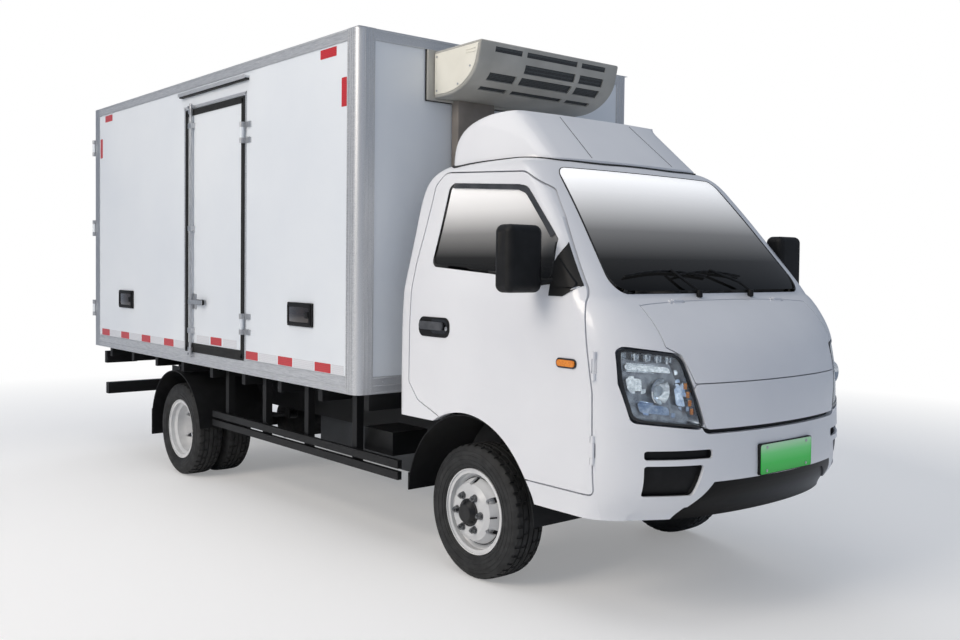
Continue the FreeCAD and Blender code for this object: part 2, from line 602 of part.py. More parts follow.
def box_bearers():
    """Two long bearers on the frame rails with cross bearers under the box's floor."""
    length = "box_length - frame_tail_gap"
    tail = "-(box_setback + box_length - frame_tail_gap)"
    parts = []
    for side, at in (("l", "frame_width / 2 - bearer_width"), ("r", "-frame_width / 2")):
        size = (length, "bearer_width", "box_bottom_height - cross_bearer_height - frame_top_height")
        parts.append(block(f"bearer_{side}", size, (tail, at, "frame_top_height")))
    count = int(s.cross_bearer_count)
    step = f"({length} - cross_bearer_width) / (cross_bearer_count - 1)"
    for i in range(count):
        size = ("cross_bearer_width", "cross_bearer_length", "cross_bearer_height")
        at = (f"{tail} + {i} * {step}", "-cross_bearer_length / 2", "box_bottom_height - cross_bearer_height")
        parts.append(block(f"cross_bearer_{i}", size, at))
    return piece("box_bearers", fuse("bearers", *parts))


# Cab

LOWER_SHARES = [
    (0.000, 0.927, 0.091, 0.72, 0.629, 0.972, 0.954), (0.103, 0.975, 0.094, 0.72, 0.637, 0.988, 0.954),
    (0.254, 0.996, 0.095, 0.72, 0.642, 0.998, 0.954), (0.427, 0.990, 0.094, 0.72, 0.642, 1.000, 0.954),
    (0.622, 0.977, 0.089, 0.72, 0.639, 1.000, 0.954), (0.708, 0.954, 0.081, 0.725, 0.635, 0.999, 0.954),
    (0.795, 0.913, 0.066, 0.735, 0.625, 0.998, 0.954), (0.892, 0.836, 0.045, 0.76, 0.607, 0.994, 0.954),
    (0.957, 0.768, 0.030, 0.785, 0.590, 0.990, 0.954), (1.000, 0.714, 0.023, 0.80, 0.577, 0.986, 0.954),
]
UPPER_SHARES = [
    (0.000, 0.714, 0.023, 0.80, 0.577, 0.986, 0.954), (0.166, 0.642, 0.025, 0.82, 0.527, 0.958, 0.950),
    (0.393, 0.542, 0.026, 0.82, 0.440, 0.916, 0.946), (0.619, 0.440, 0.027, 0.82, 0.345, 0.878, 0.939),
    (0.770, 0.369, 0.028, 0.81, 0.276, 0.855, 0.907), (0.861, 0.325, 0.029, 0.80, 0.230, 0.838, 0.843),
    (0.929, 0.286, 0.030, 0.78, 0.180, 0.806, 0.741), (0.974, 0.236, 0.030, 0.72, 0.105, 0.742, 0.611),
    (1.000, 0.149, 0.030, 0.60, 0.017, 0.626, 0.444),
]
CORNER_SHARES = (0.7, 0.41, 0.55)


def bezier(*points):
    curve = Part.BezierCurve()
    curve.setPoles(list(points))
    return curve.toShape()


def cab_section(row, base, rise, inset):
    """One level of the cab's skin as a closed wire of lines and curves, moved inwards by the inset."""
    level, nose, drop, bend, side, width, back = row
    z = base + level * rise
    w = width * s.cab_half_width - inset
    front = nose * s.front_overhang - inset
    xq, yq = front - drop * s.front_overhang, bend * w
    xe, xr = side * s.front_overhang - inset / 2, inset - back * s.cab_rear_setback
    xm, ym = (front - xq / 4) * 4 / 3, yq * CORNER_SHARES[2]
    slope = Vector(xq - xm, yq - ym, 0)
    slope.normalize()
    start = Vector(xq, yq, z) + slope * (CORNER_SHARES[0] * (w - yq))
    pull = xe + CORNER_SHARES[1] * (xq - xe)
    round_off = max(s.rear_corner - inset / 2, s.skin)
    def p(x, y):
        return Vector(x, y, z)
    edges = [
        bezier(p(xq, -yq), p(xm, -ym), p(xm, ym), p(xq, yq)),
        bezier(p(xq, yq), start, p(pull, w), p(xe, w)),
        Part.makeLine(p(xe, w), p(xr + round_off, w)),
        bezier(p(xr + round_off, w), p(xr, w), p(xr, w - round_off)),
        Part.makeLine(p(xr, w - round_off), p(xr, round_off - w)),
        bezier(p(xr, round_off - w), p(xr, -w), p(xr + round_off, -w)),
        Part.makeLine(p(xr + round_off, -w), p(xe, -w)),
        bezier(p(xe, -w), p(pull, -w), Vector(start.x, -start.y, z), p(xq, -yq)),
    ]
    return Part.Wire(edges)


def cab_solid(inset):
    """The cab's whole outer form, or the same form moved inwards."""
    low, cowl = s.cab_bottom_height, s.cowl_height
    top = s.windscreen_top_height + s.roof_rise - s.roof_drop
    lower = Part.makeLoft([cab_section(r, low, cowl - low, inset) for r in LOWER_SHARES], True, False)
    rise = top - cowl - inset
    upper = Part.makeLoft([cab_section(r, cowl, rise, inset) for r in UPPER_SHARES], True, False)
    return lower.fuse(upper)


SKINS = {}


def skin_at(inset):
    if inset not in SKINS:
        SKINS[inset] = cab_solid(inset)
    return SKINS[inset]


def layer(outer, inner, *regions):
    """Everything between two depths under the cab's surface, inside each of the regions."""
    solid = skin_at(outer)
    for region in regions:
        solid = solid.common(region)
    return solid.cut(skin_at(inner))


def full(z_low, z_high, x_low=None, x_high=None, y_low=None, y_high=None):
    """A block that reaches beyond the cab in every direction that isn't given."""
    far = s.overrun + s.front_overhang
    return slab(
        (-far if x_low is None else x_low, far if x_high is None else x_high),
        (-far if y_low is None else y_low, far if y_high is None else y_high), (z_low, z_high),
    )


def arch_cutter(radius, low=None, high=None):
    reach = s.front_overhang
    low, high = (-reach if low is None else low), (reach if high is None else high)
    at = Vector(s.arch_offset, low, s.arch_height)
    return Part.makeCylinder(radius, high - low, at, Vector(0, 1, 0))


def door_outline(grow=0.0):
    """The cab door's edge seen from the side, as corners with a radius each."""
    front, rear, low, high = s.door_front, -s.door_rear, s.door_bottom, s.door_top
    shares = [
        (1.0, 0.0), (0.995, 0.30), (0.94, 0.594), (0.747, 0.826), (0.662, 0.919), (0.556, 0.978), (0.08, 1.0),
        (0.035, 0.955), (0.0, 0.68), (0.0, 0.25), (0.06, 0.19), (0.19, 0.148), (0.25, 0.10), (0.25, 0.0),
    ]
    points = [(rear + a * (front - rear), low + b * (high - low)) for a, b in shares]
    radii = [s.door_corner * r for r in (0.4, 2, 2, 2, 2, 2, 0.8, 0.8, 4, 0.5, 0.8, 1, 0.3, 0.3)]
    return points, radii, grow


def door_prism(grow, side):
    points, radii, grow = door_outline(grow)
    low, high = sorted((side * s.door_reach, side * s.front_overhang))
    return prism_y(points, low, high, radii, grow)


def window_prism(grow, side):
    front, rear, low, high = s.door_front, -s.door_rear, s.door_bottom, s.door_top
    shares = [(0.098, 0.665), (0.124, 0.961), (0.577, 0.934), (0.742, 0.791), (0.78, 0.755), (0.79, 0.62), (0.448, 0.644)]
    points = [(rear + a * (front - rear), low + b * (high - low)) for a, b in shares]
    radii = [s.door_corner * r for r in (0.7, 0.7, 1.6, 1.6, 0.3, 0.6, 4)]
    bounds = sorted((side * s.door_reach, side * s.front_overhang))
    return prism_y(points, bounds[0], bounds[1], radii, grow)


def hinge_levels():
    return (s.low_hinge_height, s.high_hinge_height)


def door_axis():
    return s.door_front + s.door_seam / 2, s.cab_half_width - s.door_axis_inset


def cab_door(side):
    """Left door (+1) or right door (-1): outer leaf, inner leaf behind a lap, and hinge barrels."""
    arch = arch_cutter(s.arch_radius)
    wide_arch = arch_cutter(s.arch_radius + s.door_inner_lap)
    leaf = layer(0, s.door_leaf, door_prism(0, side)).cut(arch)
    inner = layer(s.door_leaf, s.cab_wall, door_prism(-s.door_inner_lap, side)).cut(wide_arch)
    x, y = door_axis()
    solid = leaf.fuse(inner).cut(window_prism(0, side))
    length = s.cab_hinge_length
    room, barrels = [], []
    for z in hinge_levels():
        for low in (z - length, z + length / 2):
            room.append(Part.makeCylinder(s.cab_hinge_room, length / 2, Vector(x, side * y, low)))
        barrels.append(Part.makeCylinder(s.cab_hinge_radius, length - 2 * s.seat_gap,
                                         Vector(x, side * y, z - length / 2 + s.seat_gap)))
    solid = solid.cut(room).fuse(barrels)
    bore = s.cab_hinge_pin + s.cab_hinge_clearance
    pins = [Part.makeCylinder(bore, 3 * length, Vector(x, side * y, z - 1.5 * length)) for z in hinge_levels()]
    return solid.cut(pins)


def door_glass(side):
    return layer(s.glass_inset, s.glass_inset + s.glass, window_prism(-s.seat_gap, side))


def screen_outline(grow=0.0):
    """Windscreen edge seen from the front."""
    base, top = s.screen_base_width / 2, s.screen_top_width / 2
    low, high = s.screen_base_height, s.windscreen_top_height - s.screen_top_inset
    points = [(-base, low), (base, low), (top, high), (-top, high)]
    return prism_x(points, s.screen_start, s.front_overhang, s.screen_corner, grow)


def front_regions():
    """Regions seen from the front or from above that part the nose into panels; each is grown by a seam."""
    far, g = s.front_overhang + s.overrun, s.panel_seam
    low, base = s.cab_bottom_height - s.overrun, s.nose_start
    def from_front(points, radii, grow):
        return prism_x(points, base, far, radii, grow)
    hood_rear = s.hood_rear
    def hood(grow):
        wide, narrow = s.hood_half_width, s.hood_front_half_width
        middle = narrow + s.lamp_lean - g
        half = [(narrow, s.panel_top), (middle, s.lamp_top - s.lamp_drop), (wide, s.lamp_top), (wide, s.hood_high)]
        points = half + [(-y, z) for y, z in half[::-1]]
        shape = from_front(points, s.skin / 2, grow)
        return shape.common(full(low, s.hood_high * 2, x_low=base - grow, x_high=far)).cut(
            full(low, s.hood_high * 2, x_high=hood_rear - grow))
    def panel(grow):
        wide, narrow = s.hood_front_half_width + s.skin, s.notch_half_width
        points = [(-narrow, s.bumper_notch + g), (narrow, s.bumper_notch + g), (wide, s.panel_top - g),
                  (-wide, s.panel_top - g)]
        return from_front(points, s.small_round, grow)
    def lamp(grow):
        shapes = []
        for side in (1, -1):
            a, b, c = s.lamp_inner, s.hood_front_half_width + s.lamp_lean, s.lamp_outer
            points = [(a, s.lamp_bottom), (b - s.small_round, s.panel_top), (b, s.lamp_top - s.lamp_drop),
                      (c, s.lamp_top), (c, s.panel_top), (c - s.lamp_drop, s.lamp_bottom + s.lamp_drop)]
            points = [(side * y, z) for y, z in points]
            if side < 0:
                points = points[::-1]
            shape = from_front(points, s.small_round, grow)
            shapes.append(shape.common(full(low, s.hood_high, x_low=s.lamp_start - grow)))
        return shapes
    def valance(grow):
        a, b = s.valance_half_width, s.valance_foot_half_width
        m = a + (b - a) * s.valance_share
        points = [(-b, low), (b, low), (b, s.valance_foot), (m, s.valance_foot + s.small_round),
                  (a, s.valance_top), (-a, s.valance_top), (-m, s.valance_foot + s.small_round),
                  (-b, s.valance_foot)]
        return from_front(points, [0, 0] + [s.small_round] * 6, grow)
    return hood, panel, lamp, valance


def bumper_region(grow):
    """Everything in front of the wheel arch and below the lamps."""
    return full(s.cab_bottom_height - s.overrun, s.bumper_side_top, x_low=s.bumper_start - grow)


def fog_pockets(grow):
    """Upper slot and lower pocket on each side of the bumper."""
    shapes = []
    a, b = s.fog_inner, s.fog_outer
    step = (b - a) * s.fog_share
    for side in (1, -1):
        upper = [(a, s.fog_slot_bottom + s.seat_gap), (b, s.fog_slot_bottom), (b, s.fog_slot_top), (a, s.fog_slot_top)]
        lower = [(a + step, s.fog_pocket_top), (b, s.fog_pocket_top), (b, s.fog_pocket_bottom),
                 (a + 2 * step, s.fog_pocket_bottom)]
        for points in (upper, lower):
            points = [(side * y, z) for y, z in points]
            shapes.append(prism_x(points, s.bumper_start, s.front_overhang + s.overrun, s.small_round / 2, grow))
    return shapes


def cab_front():
    """Hood, grille panel, bumper, valance and headlamps; returns the tools that clear their room in the shell."""
    hood, panel, lamp, valance = front_regions()
    depth, deep = s.hood_skin, s.lamp_depth
    bumper_solid = layer(0, depth, bumper_region(0))
    above = [panel(s.panel_gap)] + lamp(s.panel_seam) + [valance(s.seat_gap), hood(s.panel_seam)]
    bumper_solid = bumper_solid.cut(above + [arch_cutter(s.arch_radius)])
    pockets = fog_pockets(0)
    bumper_solid = bumper_solid.cut(pockets)
    bumper_solid = bumper_solid.Solids[0] if len(bumper_solid.Solids) == 1 else bumper_solid
    piece("front_bumper", shaped("bumper", bumper_solid))
    piece("bumper_valance", shaped("valance", layer(s.skin / 2, depth, bumper_region(0), valance(0))))
    lamps = []
    for region in lamp(0):
        body = layer(s.lamp_recess, deep, region)
        lamps.append(body)
    piece("headlamps", shaped("lamps", Part.makeCompound(lamps)))
    piece("front_panel", shaped("grille_panel", layer(0, depth, panel(0))))
    lid = layer(0, depth, hood(0)).common(full(s.panel_top - s.overrun, s.hood_high))
    return hood, panel, lamp, lid


def hood_axis():
    """Where the hood's hinge line crosses the middle plane: on the seam behind it, at the surface."""
    return s.hood_rear - s.panel_seam / 2, s.hood_hinge_height


def hood_hinges():
    """Barrels and lugs for the hood, ears and pins for the shell, and the room that each ear needs."""
    x, z = hood_axis()
    lug = [(x, z), (s.hood_rear, z - s.hood_hinge_lug - s.hood_barrel), (x + s.hood_hinge_lug, z - s.hood_hinge_lug)]
    barrels, ears, room = [], [], []
    half, ear, gap = s.hood_hinge_length / 2, s.hood_ear, s.seat_gap
    for side in (1, -1):
        y = side * s.hood_hinge_spread
        barrels.append(Part.makeCylinder(s.hood_barrel, 2 * half, Vector(x, y - half, z), Vector(0, 1, 0)))
        barrels.append(prism_y(lug, y - half, y + half))
        pin = half + ear + gap
        ears.append(Part.makeCylinder(s.hood_pin, 2 * pin, Vector(x, y - pin, z), Vector(0, 1, 0)))
        for start in (y - half - gap - ear, y + half + gap):
            ears.append(slab((x - s.hood_barrel - s.skin, x + s.hood_pin), (start, start + ear),
                             (z - s.overrun, z + s.hood_pin)))
        clear = s.running_gap
        depth, height = (x - s.overrun, x + s.hood_pin + clear), (z - 2 * s.overrun, z + s.overrun)
        room.append(slab(depth, (y - half - gap - ear - clear, y - half - gap), height))
        room.append(slab(depth, (y + half + gap, y + half + gap + ear + clear), height))
    return barrels, ears, room


def cab():
    hood, panel, lamp, lid = cab_front()
    gap = s.seat_gap
    outer, inner = skin_at(0), skin_at(s.cab_wall)
    platform, floor = s.seat_platform_height, s.cab_floor_height
    plate = s.cab_floor_thickness
    roof_inside = s.windscreen_top_height + s.roof_rise - s.roof_drop - s.cab_wall
    cabin = inner.common(full(platform, roof_inside, x_high=s.platform_front + gap)).fuse(
        inner.common(full(floor, roof_inside, x_low=s.platform_front, x_high=s.firewall_setback)))
    below = inner.common(full(0, platform - plate, x_high=s.platform_front - plate))
    half = s.tunnel_width / 2
    tunnel = full(0, floor - plate, y_low=-half, y_high=half)
    bay = inner.common(full(s.bay_floor_height, s.cowl_height, x_low=s.firewall_setback + plate))
    bay = bay.cut([layer(0, s.lamp_depth + s.skin, region) for region in lamp(2 * s.skin)])
    under_bay = inner.common(full(0, s.bay_floor_height - plate, x_low=s.firewall_setback + plate))
    foot = inner.common(full(0, floor - plate, x_low=s.platform_front, x_high=s.firewall_setback + plate + gap))
    rear_low = full(0, s.cab_rear_bottom, x_high=s.arch_offset)
    shell = outer.cut([cabin, below, tunnel, bay, under_bay, foot, rear_low, arch_cutter(s.arch_radius)])
    lap = s.door_lap
    for side in (1, -1):
        rebate = layer(0, s.door_rebate, door_prism(s.door_seam, side))
        through = skin_at(s.door_rebate).common(door_prism(-lap, side)).cut(arch_cutter(s.arch_radius + lap))
        shell = shell.cut([rebate, through])
    screen_room = layer(0, s.glass + gap, screen_outline(gap))
    shell = shell.cut([screen_room, skin_at(0).common(screen_outline(-s.door_lap))])
    depth = s.hood_skin + gap
    room = [layer(0, depth, hood(s.panel_seam)), layer(0, depth, panel(s.panel_seam + gap)),
            layer(0, depth, bumper_region(gap)).cut(full(s.bumper_side_top, s.hood_high))]
    room += [layer(0, s.lamp_depth + gap, region) for region in lamp(s.panel_seam)]
    opening = skin_at(depth).common(hood(-s.hood_lap)).common(full(s.bay_rim, s.hood_high, x_low=s.bay_start))
    shell = shell.cut(room + [opening])
    barrels, ears, clear = hood_hinges()
    shell = shell.fuse(ears)
    hx, hz = hood_axis()
    shell = shell.cut([
        Part.makeCylinder(s.hood_barrel + s.running_gap, s.hood_hinge_length, Vector(hx, y - s.hood_hinge_length / 2, hz),
                          Vector(0, 1, 0)) for y in (s.hood_hinge_spread, -s.hood_hinge_spread)])
    pins = [Part.makeCylinder(s.hood_pin, s.hood_hinge_length + 2 * gap,
                              Vector(hx, y - s.hood_hinge_length / 2 - gap, hz), Vector(0, 1, 0))
            for y in (s.hood_hinge_spread, -s.hood_hinge_spread)]
    shell = shell.fuse(pins)
    lid = lid.cut(clear).fuse(barrels)
    bore = s.hood_pin + s.cab_hinge_clearance
    lid = lid.cut([Part.makeCylinder(bore, 2 * s.hood_hinge_length, Vector(hx, y - s.hood_hinge_length, hz),
                                     Vector(0, 1, 0)) for y in (s.hood_hinge_spread, -s.hood_hinge_spread)])
    piece("hood", shaped("hood_lid", biggest(lid)))
    x, y = door_axis()
    length = s.cab_hinge_length
    for side in (1, -1):
        at = Vector(x, side * y, 0)
        for z in hinge_levels():
            shell = shell.cut(Part.makeCylinder(s.cab_hinge_room, length, at + Vector(0, 0, z - length / 2)))
            ends = [Part.makeCylinder(s.cab_hinge_radius, length / 2 - gap, at + Vector(0, 0, low))
                    for low in (z - length, z + length / 2 + gap)]
            pin = Part.makeCylinder(s.cab_hinge_pin, 2 * length - gap, at + Vector(0, 0, z - length + gap))
            shell = shell.fuse(ends + [pin])
    piece("cab_shell", shaped("shell", biggest(shell)))
    screen = layer(0, s.glass, screen_outline(0))
    piece("windscreen", shaped("screen", screen))
    for name, side in (("left", 1), ("right", -1)):
        piece(f"cab_door_{name}", shaped(f"cab_door_{name[0]}", biggest(cab_door(side))))
        piece(f"door_glass_{name}", shaped(f"door_glass_{name[0]}", door_glass(side)))
        piece(f"mirror_{name}", shaped(f"mirror_{name[0]}", mirror(side)))


def biggest(shape):
    """The largest solid of a shape, without the crumbs that a seam can leave."""
    return max(shape.Solids, key=lambda solid: solid.Volume)


def mirror(side):
    """Mirror head, arm and a foot plate seated on the corner of the door."""
    width, height, depth = s.mirror_width, s.mirror_height, s.mirror_depth
    low = Vector(s.mirror_x - depth / 2, s.mirror_y - width / 2, s.mirror_bottom)
    head = Part.makeBox(depth, width, height, low)
    head = head.makeFillet(s.mirror_corner, head.Edges)
    points = [(s.mirror_foot_x, s.mirror_foot_base), (s.mirror_foot_x, s.mirror_foot_base + s.mirror_foot_height),
              (s.mirror_foot_x + s.mirror_foot_length, s.mirror_foot_base)]
    reach = sorted((s.door_reach, s.front_overhang))
    region = prism_y(points, reach[0], reach[1], s.small_round / 2)
    foot = region.common(skin_at(-s.mirror_foot_thickness)).cut(skin_at(-s.seat_gap))
    foot = biggest(foot)
    centre = s.mirror_foot_x + s.mirror_foot_length * s.mirror_arm_share
    z = s.mirror_foot_base + s.mirror_arm_rise
    start = Vector(centre, s.mirror_arm_start, z)
    end = Vector(s.mirror_x, s.mirror_y - width / 4, s.mirror_bottom + s.mirror_corner)
    run = end - start
    arm = Part.makeCylinder(s.mirror_arm_radius, run.Length, start, run)
    arm = arm.cut(skin_at(-s.seat_gap))
    solid = biggest(head.fuse([foot, arm]))
    return solid if side > 0 else mirrored(solid)


def roof_fairing():
    """Hollow air deflector over the cab's roof, open at the rear."""
    def form(inset):
        z0, z1 = s.fairing_base_height - inset * 2, s.fairing_base_height + s.fairing_height - inset
        base = [(-s.fairing_rear - inset * 2, s.fairing_half_width - inset), (s.fairing_front * 0.86 - inset, s.fairing_front_corner - inset)]
        base.append((s.fairing_front - inset, (s.fairing_front_corner - inset) / 2))
        top = [(-s.fairing_rear - inset * 2, s.fairing_half_width - s.skin - inset), (-s.fairing_foot * 3 - inset, s.fairing_half_width - 2 * s.skin - inset)]
        top = [(-s.fairing_rear - inset * 2, s.fairing_half_width * 0.985 - inset), (0 - inset, s.fairing_half_width * 0.735 - inset)]
        top.append((s.fairing_foot - inset, (s.fairing_half_width * 0.72 - inset) / 2))
        wires = []
        for rows, z in ((base, z0), (top, z1)):
            pts = [(x, y) for x, y in rows] + [(x, -y) for x, y in rows[::-1]]
            radii = [0, s.fairing_round, s.fairing_round * 4, s.fairing_round * 4, s.fairing_round, 0]
            wires.append(rounded(pts, radii, lambda p, z=z: Vector(p.x, p.y, z)))
        return Part.makeLoft(wires, True, True)
    rear, top = s.fairing_rear, s.fairing_base_height + s.fairing_height
    def side(inset):
        shares = [(-1, -0.5), (-1, 0), (-0.94, 0.24), (-0.73, 0.70), (-0.45, 0.89), (-0.17, 0.955), (0.0, 1.0), (0.06, 1.0), (1, 0), (1, -0.5)]
        points = [(rear * a, s.fairing_base_height + s.fairing_height * b - inset) for a, b in shares]
        return prism_y(points, -s.front_overhang, s.front_overhang, 0)
    solid = form(0).common(side(0)).cut(form(s.fairing_skin).common(side(s.fairing_skin)))
    solid = solid.cut(skin_at(-s.seat_gap))
    piece("roof_fairing", shaped("fairing", biggest(solid)))


# Cargo box

def box_edges():
    """The box's outer limits: front, rear, half width, bottom and top."""
    front = -s.box_setback
    return front, front - s.box_length, s.box_width / 2, s.box_bottom_height, s.box_bottom_height + s.box_height


def side_door_span():
    front = -s.box_setback - s.side_door_setback
    low = s.box_bottom_height + s.side_door_sill
    return front - s.side_door_width, front, low, low + s.side_door_height


def vent_spots():
    """Lower front corners of the two vent hatches: (rear end, front end)."""
    front, rear = box_edges()[:2]
    first = front - s.front_vent_setback
    last = rear + s.rear_vent_inset
    return ((first - s.vent_width, first), (last, last + s.vent_width))


def cargo_box():
    front, rear, half, low, high = box_edges()
    trim, wall = s.trim_thickness, s.wall_thickness
    skin, post, depth = half - trim, s.front_trim_width, s.portal_depth
    roof_low = high - s.roof_thickness
    span = (rear + depth, front - post)
    x0, x1, z0, z1 = side_door_span()
    gap = s.door_gap
    right = slab(span, (-skin, wall - skin), (low, roof_low))
    left = mirrored(right)
    hole = slab((x0 - gap, x1 + gap), (-half, wall - half + s.overrun), (z0 - gap, z1 + gap))
    piece("box_wall_right", shaped("wall_r", right.cut(hole)))
    piece("box_wall_left", shaped("wall_l", left))
    inner = half - post
    piece("box_front_wall", shaped("wall_front", slab((front - wall, front - trim), (-inner, inner), (low, roof_low))))
    roof = slab((rear + depth, front - trim), (-skin, skin), (roof_low, high - trim))
    corner = slab((front - post, front), (-half, -inner), (low, roof_low))
    roof = roof.cut([slab((front - s.corner_radius, front), (a, b), (low, high))
                     for a, b in ((-half, s.corner_radius - half), (half - s.corner_radius, half))])
    piece("box_roof", shaped("roof", roof))
    floor = slab((rear + depth, front - wall), (wall - skin, skin - wall), (low, low + s.floor_thickness))
    piece("box_floor", shaped("floor", floor))
    rounding = Part.makeCylinder(s.corner_radius, high - low, Vector(front - s.corner_radius, s.corner_radius - half, low))
    block_low = slab((front - post, front), (-half, -inner), (low, high))
    square = slab((front - s.corner_radius, front), (-half, s.corner_radius - half), (low, high))
    post_shape = block_low.cut(square).fuse(rounding.common(square)).cut(
        slab((front - post, front - wall), (wall - skin, -inner), (low, roof_low)))
    post_shape = post_shape.cut(slab((rear, front - s.corner_radius), (s.corner_radius - half, 0), (roof_low, high)))
    tops = slab((rear + depth, front - post), (-half, -skin), (high - s.top_trim_height, high))
    cap = slab((rear + depth, front - post), (-skin, -skin + s.top_trim_height), (high - trim, high))
    foot = slab((rear + depth, front - post), (-half, -skin), (low, low + s.bottom_trim_height))
    foot_right = foot.cut(hole)
    lintel = slab((front - trim, front), (-inner, inner), (high - s.top_trim_height, high))
    lintel_top = slab((front - trim - s.top_trim_height, front), (-inner, inner), (high - trim, high))
    post_shape = post_shape.cut(roof)
    side = tops.fuse([cap, post_shape])
    right_side, left_side = side.fuse(foot_right), mirrored(side).fuse(mirrored(foot))
    sill = slab((front - trim, front), (-inner, inner), (low, low + s.bottom_trim_height))
    trims = right_side.fuse([left_side, lintel, lintel_top, sill])
    drip_x = (x0 - (s.drip_rail_length - s.side_door_width) / 2, x1 + (s.drip_rail_length - s.side_door_width) / 2)
    z = z1 + s.drip_rail_rise
    drip = slab(drip_x, (-skin - s.drip_rail_depth, -skin), (z, z + s.drip_rail_height))
    pieces = [trims, drip]
    piece("box_edge_trim", shaped("edge_trim", Part.makeCompound([p for t in pieces for p in t.Solids])))
    portal_x = (rear, rear + depth)
    portal = slab(portal_x, (-half, half), (low, high))
    wide, base, head = half - s.portal_post, low + s.portal_sill, high - s.portal_header
    portal = portal.cut(slab((rear - 1, rear + depth + 1), (-wide, wide), (base, head)))
    keepers, pins = rear_hinge_parts()
    piece("rear_portal", shaped("portal", portal.fuse(keepers)))
    side_door(hole)
    vents = []
    for a, b in vent_spots():
        z = s.vent_base_height
        plate = slab((a, b), (-skin - s.vent_thickness, -skin), (z, z + s.vent_height))
        vents.append(plate.makeFillet(s.vent_thickness / 3, plate.Edges))
    piece("vent_hatches", shaped("vents", Part.makeCompound(vents)))
    rear_doors(rear, wide, base, head)


def side_door_axis():
    """Where the side door turns: just outside the wall at the door's front edge."""
    front = side_door_span()[1]
    return front + s.door_gap / 2, -(s.box_width / 2 - s.trim_thickness + s.hinge_standoff)


def side_hinge_levels():
    z0, z1 = side_door_span()[2:]
    rise = (z1 - z0) * s.hinge_end_share
    return z0 + rise, z1 - rise


def side_door(hole):
    """Insulated door with tapered free edge, hinges and a lock rod of its own."""
    x0, x1, z0, z1 = side_door_span()
    half, wall = s.box_width / 2 - s.trim_thickness, s.wall_thickness
    points = [(x0, -half), (x1, -half), (x1, wall - half), (x0 + s.free_edge_taper, wall - half)]
    wire = Part.makePolygon([Vector(x, y, z0) for x, y in points + points[:1]])
    door = Part.Face(wire).extrude(Vector(0, 0, z1 - z0))
    x, y = side_door_axis()
    height, strap = s.hinge_height, s.strap_thickness
    parts, pads = [], []
    for z in side_hinge_levels():
        low = z - height / 2
        parts.append(Part.makeCylinder(s.hinge_barrel_radius, height, Vector(x, y, low)))
        parts.append(slab((x - s.hinge_strap_length, x), (-half - strap, -half), (low, low + height)))
        parts.append(slab((x - s.hinge_barrel_radius, x), (y, -half), (low, low + height)))
        for start in (low - height / 2 - s.seat_gap, low + height + s.seat_gap):
            pads.append(Part.makeCylinder(s.hinge_barrel_radius, height / 2, Vector(x, y, start)))
            pads.append(slab((x, x + s.hinge_barrel_radius), (y, -half), (start, start + height / 2)))
            pads.append(slab((x + s.door_gap, x + s.hinge_strap_length), (-half - strap, -half), (start, start + height / 2)))
        pads.append(Part.makeCylinder(s.hinge_pin_radius, 2 * height, Vector(x, y, low - height / 2)))
    bore = s.hinge_pin_radius + s.stub_clearance
    bores = [Part.makeCylinder(bore, 2 * height, Vector(x, y, z - height)) for z in side_hinge_levels()]
    door = door.fuse(parts).cut(bores)
    guides = []
    rod_x, rod_y = x0 + s.lock_rod_inset, -half - s.lock_rod_standoff
    for share in (0.08, 0.5, 0.92):
        z = z0 + (z1 - z0) * share
        guide = slab((rod_x - s.lock_guide_length / 2, rod_x + s.lock_guide_length / 2),
                     (rod_y - s.lock_rod_radius, -half), (z, z + s.lock_guide_height))
        guides.append(guide)
    lock = Part.makeCylinder(s.lock_rod_radius, z1 - z0 + 2 * s.lock_rod_overlap, Vector(rod_x, rod_y, z0 - s.lock_rod_overlap))
    z = z0 + (z1 - z0) * s.lock_handle_share
    handle_y = (rod_y - s.lock_rod_radius - s.lock_handle_thickness / 2, rod_y)
    handle = slab((rod_x, rod_x + s.lock_handle_length), handle_y, (z, z + s.lock_handle_height))
    lock_all = lock.fuse(guides + [handle])
    piece("side_door", shaped("side_door_leaf", door))
    piece("side_door_lock", shaped("side_lock", lock_all))
    piece("side_hinges", shaped("side_hinge_pads", Part.makeCompound(Part.makeCompound(pads[:6]).Solids and [
        pads[0].fuse(pads[1:7]), pads[7].fuse(pads[8:])])))


def rear_axis():
    """Where the left rear door turns: behind and outside the portal's corner."""
    rear, half = box_edges()[1:3]
    return rear - s.rear_hinge_offset, half + s.rear_hinge_side


def rear_hinge_parts():
    """Pins and ears for the rear doors' hinges, part of the portal."""
    x, y = rear_axis()
    rear, half, low, high = box_edges()[1:5]
    parts = []
    height = s.hinge_height
    for side in (1, -1):
        for share in s_hinge_shares():
            z = low + (high - low) * share
            for start in (z - height, z + height / 2 + s.seat_gap):
                parts.append(Part.makeCylinder(s.hinge_barrel_radius, height / 2 - s.seat_gap, Vector(x, side * y, start)))
                ys = sorted((side * (half - s.hinge_barrel_radius), side * y))
                parts.append(slab((x, rear), ys, (start, start + height / 2 - s.seat_gap)))
            parts.append(Part.makeCylinder(s.hinge_pin_radius, 2 * height, Vector(x, side * y, z - height)))
    return parts, None


def s_hinge_shares():
    return (s.rear_hinge_share, 0.5, 1 - s.rear_hinge_share)


